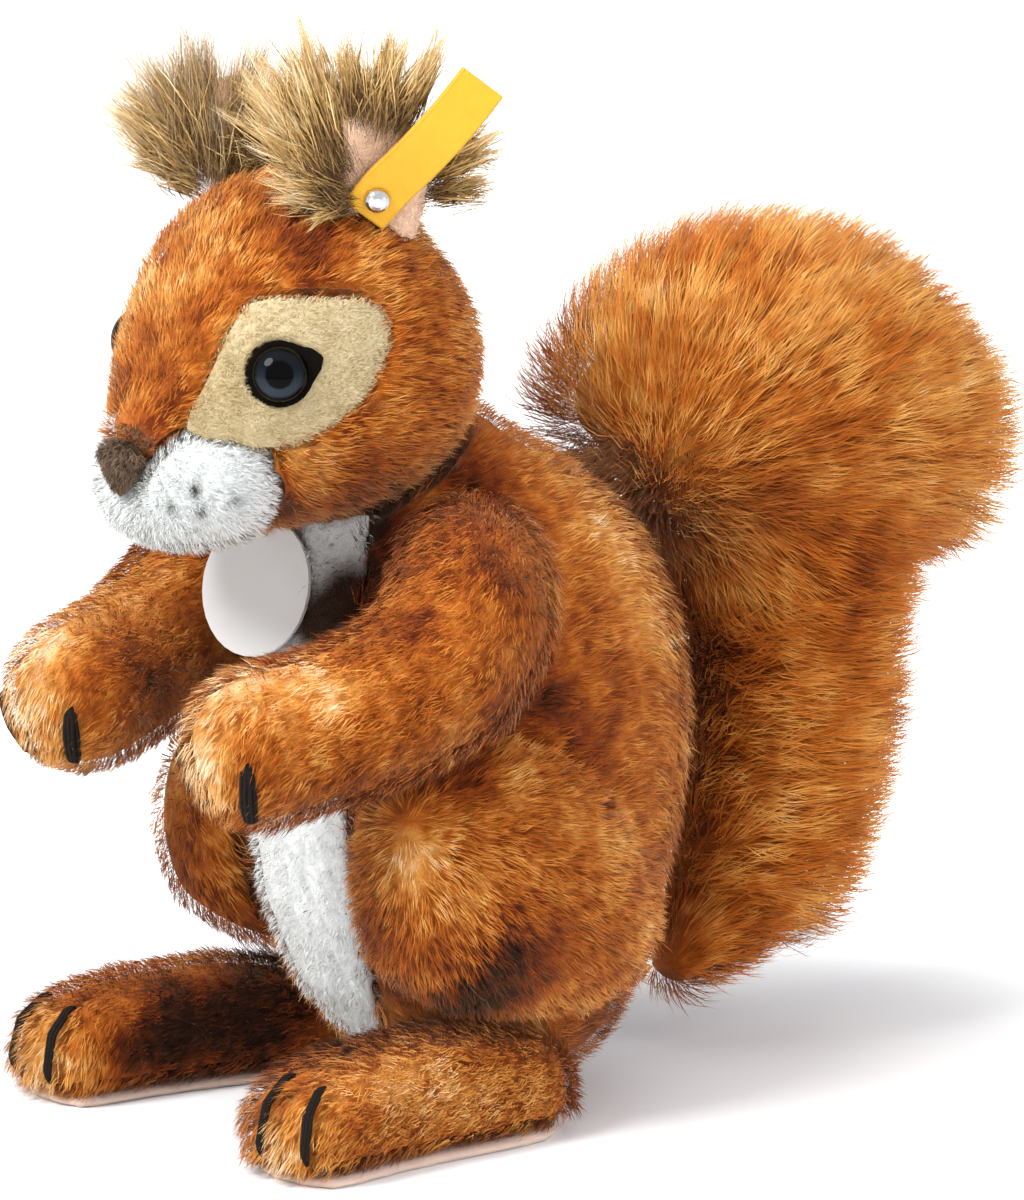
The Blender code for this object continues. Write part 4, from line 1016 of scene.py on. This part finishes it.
# The fans of hair at each ear: where each starts and where it ends, to the right of, above and towards the
# camera from the foot of the ear, then its thickness at the foot, its width at the tips and its number of
# hairs.
FANS = {
    "left": (
        ((-7, 15, 10), (-15, 41, 6), 4.0, 3.6, 1500), ((-8, 13, 9), (-24, 34, 6), 4.0, 3.8, 1300),
        ((-8, 11, 9), (-22, 23, 8), 4.0, 3.4, 900), ((-6, 9, 8), (-20, 12, 9), 3.5, 2.8, 800),
        ((-5, 8, 8), (-13, 6, 9), 2.5, 2.2, 400), ((-3, 23, 13), (-7, 42, 10), 3.5, 3.4, 260),
        ((1, 23, 14), (4, 41, 11), 4.0, 2.8, 700), ((4, 22, 13), (13, 40, 10), 3.5, 2.6, 560),
        ((10, 17, 4), (24, 31, 2), 4.0, 2.8, 420), ((10, 14, 4), (26, 21, 2), 4.0, 2.8, 400),
        ((10, 10, 4), (25, 12, 2), 3.0, 2.0, 220),
    ),
    "right": (
        ((-13, 10, 8), (-32, 27, 5), 5.0, 3.0, 800), ((-13, 9, 8), (-28, 14, 6), 4.0, 2.0, 300),
        ((-12, 11, 8), (-24, 36, 5), 5.0, 3.4, 950), ((-10, 10, 8), (-15, 41, 5), 5.0, 3.2, 800),
        ((-9, 11, 7), (-9, 44, 4), 4.0, 2.6, 300), ((-6, 10, 8), (-1, 38, 5), 5.0, 3.8, 850),
        ((-6, 12, 6), (6, 41, 3), 4.0, 2.4, 180), ((-7, 6, 10), (-8, 25, 9), 4.0, 3.4, 800),
        ((-4, 6, 9), (3, 22, 7), 4.0, 3.0, 500), ((-12, 6, 8), (-21, 11, 7), 4.0, 2.4, 400),
    ),
}
FAN_TONE = {"left": 0.43, "right": 0.58}
BODY_PATCH = 11.0
TAIL_PATCH = 16.0


def ear_place(side):
    base = Vector((side * EAR_BASE.x, EAR_BASE.y, EAR_BASE.z)) * MM
    return Matrix.Translation(base) @ facing(side * EAR_AZIMUTH, -EAR_LEAN).to_4x4()


class SQUIRREL_OT_ears(bpy.types.Operator):
    """Line the ears with velvet and set the long hair behind them"""
    bl_idname = "squirrel.ears"
    bl_label = "Ears"

    def execute(self, context):
        s, c = sizes(), colours()
        nap = 0.2 * MM
        velvet = even_stops(dye("A9765A"), c.velvet, dye("FBE3D2"))
        mohair = even_stops(dye("3E2A17"), dye("86653C"), c.mohair, dye("DEC494"), dye("F4EBD6"))
        for word, side in SIDES:
            ear = stuffed("ear_" + word, "velvet", voxel=0.8, inset=nap, rounds=2)
            back_with(ear, pile_finish("ear_" + word + "_backing", velvet, 5.0, 0.3))
            fuzz = Pile(41 + side).sow(ear, 5000, nap, ("head", "ear_tuft_" + word), -0.1)
            fuzz.comb(lambda p: -down_flow(p), EAR_FUZZ * MM, upright=25, fallen=60, ruffle=0.8)
            if side > 0:
                fuzz.part_round(("ear_ribbon", "ear_button"), margin=0.05)
            fuzz.weave("ear_" + word + "_fuzz", s.strand * 0.8,
                       pile_finish("ear_" + word + "_fuzz", velvet, 5.0, 0.3).material, "ear_velvet")
            tuft_name = "ear_tuft_" + word
            pivot = np.array(ear_place(side) @ (TUFT_HEART * MM))
            guide = solid_copy(tuft_name + "_guide", tuft_name)
            finish = pile_finish(tuft_name + "_hair", mohair, 6.0, 0.45, 0.75, 0.4, 0.5)
            coat = Pile(45 + side).sow(guide, 3600, 0).burst(pivot, low=0.1, high=0.5)
            coat.comb(down_flow, TUFT_COAT * MM, upright=6, fallen=34, ruffle=0.8, joints=2, vary=0.3)
            coat.gather(spacing=0.05, strength=0.35)
            coat.shade -= TUFT_COAT_SHADE
            foot = np.array(ear_place(side).translation)
            view = np.array(facing(CAMERA_AZIMUTH, CAMERA_HEIGHT).transposed())
            fans = Pile(51 + side)
            for start, end, thick, wide, count in FANS[word]:
                ends = [foot + np.array(place) * MM @ view for place in (start, end)]
                fans.fan(*ends, thick * MM, wide * MM, count, FAN_TONE[word])
            for pile, label in ((coat, "_coat"), (fans, "_fans")):
                if side > 0:
                    pile.part_round(("ear_ribbon", "ear_button"), margin=0.5)
                made = pile.weave(tuft_name + label, s.strand * 0.9, finish.material, "ear_mohair")
                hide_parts(tuft_name)
            bpy.data.objects.remove(guide)
        return {"FINISHED"}


STITCH_RISE = 1.5  # how far the middle of a stitch stands above its CAD thread
STITCH_WIDTH = 0.9
PAW_BUNDLE = 1.5  # how much wider the bundle is on a paw than on a foot
STITCH_POINTS = 13
STITCH_WOBBLE = 0.07
STITCH_SINK = 0.6  # how deep its ends go in
STITCHES = ((-0.8, -0.1), (-0.25, 0.3), (0.3, 0.2), (0.8, -0.2), (0.05, -0.5))  # each across and up


def thread_middles(points):
    """The middles of the five rings of a thread, from end to end."""
    middle = points.mean(axis=0)
    spread = np.linalg.svd(points - middle)[2][0]
    order = np.argsort((points - middle) @ spread)
    return np.stack([points[part].mean(axis=0) for part in np.array_split(order, 5)])


class SQUIRREL_OT_claws(bpy.types.Operator):
    """Sew each claw as a bundle of long dark stitches"""
    bl_idname = "squirrel.claws"
    bl_label = "Claws"

    def execute(self, context):
        thread = colours().thread
        finish = speckled("claw_stitch", 0.8, (0.35, 4.0, 0.7), shaded(thread, 0.5), shaded(thread, 2.6),
                          Specular_IOR_Level=0.15)
        finish.bump(finish.noise(0.2, 3.0), 0.15)
        chance = np.random.default_rng(sizes().seed + 61)
        for name in [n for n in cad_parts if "_claw_" in n]:
            limb = tree_of([name.split("_")[0].replace("paw", "arm") + "_" + name.split("_")[2]])
            wide = PAW_BUNDLE if name.startswith("paw") else 1.0
            guide = solid_copy(name + "_guide", name)
            middles = thread_middles(points_of(guide))
            bpy.data.objects.remove(guide)
            out = np.mean([limb.find_nearest(Vector(m))[1] for m in middles], axis=0)
            along = unit(middles[-1:] - middles[:1])[0]
            out = unit((out - along * (out @ along))[None])[0]
            across = np.cross(along, out)
            data = bpy.data.curves.new(name + "_stitches", "CURVE")
            data.dimensions = "3D"
            data.bevel_depth = STITCH_WIDTH / 2 * wide ** 0.5 * MM
            data.bevel_resolution = 1
            data.use_fill_caps = True
            for side_step, lift in STITCHES:
                shares = np.linspace(0, 1, STITCH_POINTS)
                route = np.stack([np.interp(shares * 4, range(5), column) for column in middles.T], axis=1)
                rise = np.sin(np.pi * shares) ** 0.5 * (STITCH_RISE + lift) - STITCH_SINK
                waist = side_step * wide * np.sin(np.pi * shares) ** 0.7
                waist = waist + chance.normal(0, STITCH_WOBBLE, STITCH_POINTS)
                route = route + (out * rise[:, None] + across * waist[:, None]) * MM
                line = data.splines.new("POLY")
                line.points.add(STITCH_POINTS - 1)
                line.points.foreach_set("co", np.c_[route, np.ones(STITCH_POINTS)].ravel())
            made = bpy.data.objects.new(name + "_stitches", data)
            context.scene.collection.objects.link(made)
            select_only(made)
            bpy.ops.object.convert(target="MESH")
            made = context.object
            made.data.shade_smooth()
            dress(made, finish.material)
            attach(made, "root")
            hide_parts(name)
        return {"FINISHED"}


RIBBON_WIDTH = 10.0
RIBBON_THICKNESS = 0.36
RIBBON_LENGTH = 31.0  # from the rivet to the fold
RIBBON_END = 4.2  # past the rivet
RIBBON_ANGLE = 51.0
RIBBON_BOW = 3.0
RIBBON_FREE = 2.5  # from the rivet to where the bow starts
RIBBON_FOLD = 0.35  # its radius
RIBBON_BACK = 0.9  # from the front layer's middle to the back of the ribbon's solid
RIBBON_ROWS = 72
RIBBON_COLUMNS = 24
RIBBON_FOLD_STEPS = 8
RIB_PITCH = 0.42  # from thread to thread of the weave, along and across
WARP_PITCH = 0.5
RIBBON_HOLE = 0.8


def ribbon_line():
    """The middle of the ribbon from its front end over the fold to its back end: along and out."""
    front = [(s, RIBBON_BOW * math.sin(math.pi * max(0.0, s - RIBBON_FREE) / (RIBBON_LENGTH * 1.12)))
             for s in np.linspace(-RIBBON_END, RIBBON_LENGTH, RIBBON_ROWS)]
    end, rise = front[-1]
    turns = [math.pi * k / RIBBON_FOLD_STEPS for k in range(1, RIBBON_FOLD_STEPS)]
    fold = [(end + RIBBON_FOLD * math.sin(t), rise - RIBBON_FOLD * (1 - math.cos(t))) for t in turns]
    back = [(s, out - 2 * RIBBON_FOLD) for s, out in reversed(front) if s > -RIBBON_END / 2]
    return np.array(front + fold + back)


class SQUIRREL_OT_ribbon(bpy.types.Operator):
    """Weave the ribbon, folded over and held under the rivet"""
    bl_idname = "squirrel.ribbon"
    bl_label = "Ribbon"

    def execute(self, context):
        c = colours()
        turn = np.array(facing(EAR_AZIMUTH, -EAR_LEAN) @ Matrix.Rotation(math.radians(RIBBON_ANGLE), 3, "Z"))
        solid = solid_copy("ribbon_guide", "ear_ribbon")
        held = points_of(solid) @ turn
        bpy.data.objects.remove(solid)
        low, high = held.min(axis=0), held.max(axis=0)
        pin = np.array((low[0] + RIBBON_END * MM, (low[1] + high[1]) / 2, low[2] + RIBBON_BACK * MM))
        line = ribbon_line()
        run = np.concatenate([[0], np.cumsum(np.linalg.norm(np.diff(line, axis=0), axis=1))])
        shape = bmesh.new()
        across = np.linspace(-0.5, 0.5, RIBBON_COLUMNS + 1)
        rows = []
        for s, out in line:
            rows.append([shape.verts.new((pin + np.array((s, w * RIBBON_WIDTH, out)) * MM) @ turn.T)
                         for w in across])
        flat = shape.loops.layers.uv.new("Weave")
        for k in range(len(rows) - 1):
            for j in range(RIBBON_COLUMNS):
                middle = (line[k] + line[k + 1]) / 2
                aside = (across[j] + across[j + 1]) / 2 * RIBBON_WIDTH
                if math.hypot(middle[0], aside) < RIBBON_HOLE:
                    continue
                face = shape.faces.new((rows[k][j], rows[k + 1][j], rows[k + 1][j + 1], rows[k][j + 1]))
                for loop, (a, b) in zip(face.loops, ((k, j), (k + 1, j), (k + 1, j + 1), (k, j + 1))):
                    loop[flat].uv = (across[b] + 0.5, run[a] / RIBBON_WIDTH)
        mesh = bpy.data.meshes.new("ear_ribbon_woven")
        shape.to_mesh(mesh)
        shape.free()
        ribbon = bpy.data.objects.new("ear_ribbon_woven", mesh)
        context.scene.collection.objects.link(ribbon)
        apply_modifier(ribbon, "SOLIDIFY", thickness=RIBBON_THICKNESS * MM, offset=0.0)
        ribbon.data.shade_smooth()

        finish = Finish("ribbon_weave", 0.55, Sheen_Weight=0.15)
        uv = finish.place.node("ShaderNodeUVMap", settings={"uv_map": "Weave"})
        wide = uv.node("ShaderNodeSeparateXYZ", i0=uv)
        long = uv.node("ShaderNodeSeparateXYZ", out=1, i0=uv)
        rib = (long * (math.tau * RIBBON_WIDTH / RIB_PITCH)).sum("SINE")
        warp = (wide * (math.tau * RIBBON_WIDTH / WARP_PITCH)).sum("SINE")
        edge = (wide - 0.5).sum("ABSOLUTE").between(0.43, 0.47)
        threads = (rib * warp) * 0.5 + 0.5
        shine = finish.noise(3.0, 3.0) * 0.6 + threads * 0.4
        cloth = shine.mix(shaded(c.ribbon, 0.8), shaded(c.ribbon, 1.1))
        finish.set("Base Color", edge.mix(cloth, shaded(c.ribbon, 0.86)))
        finish.bump(threads + edge, 0.05)
        dress(ribbon, finish.material)
        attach(ribbon, "root")
        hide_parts("ear_ribbon")
        return {"FINISHED"}


class SQUIRREL_OT_fittings(bpy.types.Operator):
    """Finish the disc, its thread, the rivet and the washers behind the eyes"""
    bl_idname = "squirrel.fittings"
    bl_label = "Disc, rivet and washers"

    def execute(self, context):
        c = colours()
        card = speckled("tag_card", 0.42, (4.0,), shaded(c.card, 0.94), c.card, Coat_Weight=0.3,
                        Coat_Roughness=0.25)
        card.bump(card.noise(0.4, 4.0), 0.02)
        nickel = speckled("button_nickel", 0.22, (1.5,), dye("B9B9BC"), dye("DCDCDE"), Metallic=1.0)
        tack = speckled("tack_thread", 0.7, (0.6,), dye("B9B6AC"), dye("E4E1D8"))
        washer = speckled("washer_plastic", 0.4, (2.0,), dye("E0E0E0"), dye("F0F0F0"))
        for name, finish in (("chest_tag", card), ("ear_button", nickel), ("tag_tack", tack),
                             ("eye_washer_left", washer), ("eye_washer_right", washer)):
            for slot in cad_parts[name].material_slots:
                slot.material = finish.material
        return {"FINISHED"}


# The studio.

CAMERA_AIM = Vector((5.5, -13.58, 100.5))
CAMERA_AZIMUTH = 54.0
CAMERA_HEIGHT = 11.5
CAMERA_DISTANCE = 1600.0
CAMERA_LENS = 240.0
LAMP_AIM = 0.1  # height that the lamps point at, in metres
FLOOR_GLOW = (0.09, 0.2)  # distances in metres between which the floor's own light rises to white


def lamp(name, azimuth, height, distance, width, strength, mirrored=False):
    """A round lamp. Only a mirrored one shows in what shines."""
    data = bpy.data.lights.new(name, "AREA")
    data.shape = "DISK"
    data.size = width
    data.energy = strength
    obj = bpy.data.objects.new(name, data)
    bpy.context.scene.collection.objects.link(obj)
    back = facing(azimuth, height) @ Vector((0, 0, 1))
    obj.location = Vector((0, 0, LAMP_AIM)) + back * distance
    obj.rotation_euler = back.to_track_quat("Z", "Y").to_euler()
    obj.visible_glossy = mirrored


class SQUIRREL_OT_studio(bpy.types.Operator):
    """Set up the camera, the lamps, the floor and the white surroundings"""
    bl_idname = "squirrel.studio"
    bl_label = "Studio"

    def execute(self, context):
        data = bpy.data.cameras.new("camera")
        data.sensor_width = 36.0
        data.lens = CAMERA_LENS
        data.clip_start, data.clip_end = 0.05, 20.0
        camera = bpy.data.objects.new("camera", data)
        context.scene.collection.objects.link(camera)
        back = facing(CAMERA_AZIMUTH, CAMERA_HEIGHT) @ Vector((0, 0, 1))
        camera.location = (CAMERA_AIM + back * CAMERA_DISTANCE) * MM
        camera.rotation_euler = back.to_track_quat("Z", "Y").to_euler()
        context.scene.camera = camera

        lamp("key_lamp", azimuth=4, height=42, distance=1.3, width=0.6, strength=20.0, mirrored=True)
        lamp("fill_lamp", azimuth=100, height=26, distance=1.5, width=1.2, strength=11.0)
        lamp("top_lamp", azimuth=60, height=80, distance=1.4, width=1.2, strength=7.0)

        bpy.ops.object.select_all(action="DESELECT")
        bpy.ops.mesh.primitive_plane_add(size=12.0)
        floor = context.object
        floor.name = "floor"
        surface = speckled("floor", 0.9, (900.0,), dye("F1F1F1"), dye("F4F4F4"))
        path = surface.tree.nodes.new("ShaderNodeLightPath")
        seen = Signal(surface.tree, path.outputs["Is Camera Ray"])
        surface.shader.inputs["Emission Strength"].default_value = 1.0
        away = surface.place.node("ShaderNodeVectorMath", out=1, settings={"operation": "LENGTH"},
                                  i0=surface.place)
        # The floor's own light, seen only from the camera: a faint blue close to the squirrel, which tints
        # its shadow there, rising to white further out.
        glow = away.between(*FLOOR_GLOW).mix((0.0, 0.015, 0.03), (1, 1, 1))
        surface.set("Emission Color", seen.mix((0, 0, 0), glow))
        floor.data.materials.append(surface.material)

        world = bpy.data.worlds.new("studio")
        context.scene.world = world
        world.use_nodes = True
        tree = world.node_tree
        sky = tree.nodes["Background"]
        path = tree.nodes.new("ShaderNodeLightPath")
        seen = Signal(tree, path.outputs["Is Camera Ray"])
        seen = seen.sum("MAXIMUM", Signal(tree, path.outputs["Is Glossy Ray"]))
        seen = seen.sum("MAXIMUM", Signal(tree, path.outputs["Is Transmission Ray"]))
        tree.links.new(seen.mix((0.56, 0.56, 0.57), (1, 1, 1)).socket, sky.inputs["Color"])
        context.scene.view_settings.view_transform = "Standard"
        return {"FINISHED"}


class SQUIRREL_PT_panel(bpy.types.Panel):
    """The squirrel's sizes, colours and pieces"""
    bl_idname = "SQUIRREL_PT_panel"
    bl_label = "Squirrel"
    bl_space_type = "VIEW_3D"
    bl_region_type = "UI"
    bl_category = "Squirrel"

    def draw(self, context):
        for group in (sizes(), colours()):
            for key in group.__annotations__:
                self.layout.prop(group, key)
        for piece in PIECES:
            self.layout.operator(piece.bl_idname)


PIECES = (SQUIRREL_OT_studio, SQUIRREL_OT_torso, SQUIRREL_OT_head, SQUIRREL_OT_arms, SQUIRREL_OT_haunches,
          SQUIRREL_OT_feet, SQUIRREL_OT_tail, SQUIRREL_OT_pale_plush, SQUIRREL_OT_nose, SQUIRREL_OT_eyes,
          SQUIRREL_OT_ears, SQUIRREL_OT_ribbon, SQUIRREL_OT_claws, SQUIRREL_OT_fittings)
CLASSES = (SquirrelSizes, SquirrelColours, *PIECES, SQUIRREL_PT_panel)


def register():
    for made in CLASSES:
        bpy.utils.register_class(made)
    bpy.types.Scene.squirrel_sizes = PointerProperty(type=SquirrelSizes)
    bpy.types.Scene.squirrel_colours = PointerProperty(type=SquirrelColours)


def unregister():
    del bpy.types.Scene.squirrel_sizes
    del bpy.types.Scene.squirrel_colours
    for made in reversed(CLASSES):
        bpy.utils.unregister_class(made)


def main():
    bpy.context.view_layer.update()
    register()
    for piece in PIECES:
        group, action = piece.bl_idname.split(".")
        getattr(getattr(bpy.ops, group), action)()
    bpy.context.view_layer.update()


if __name__ == "__main__":
    main()
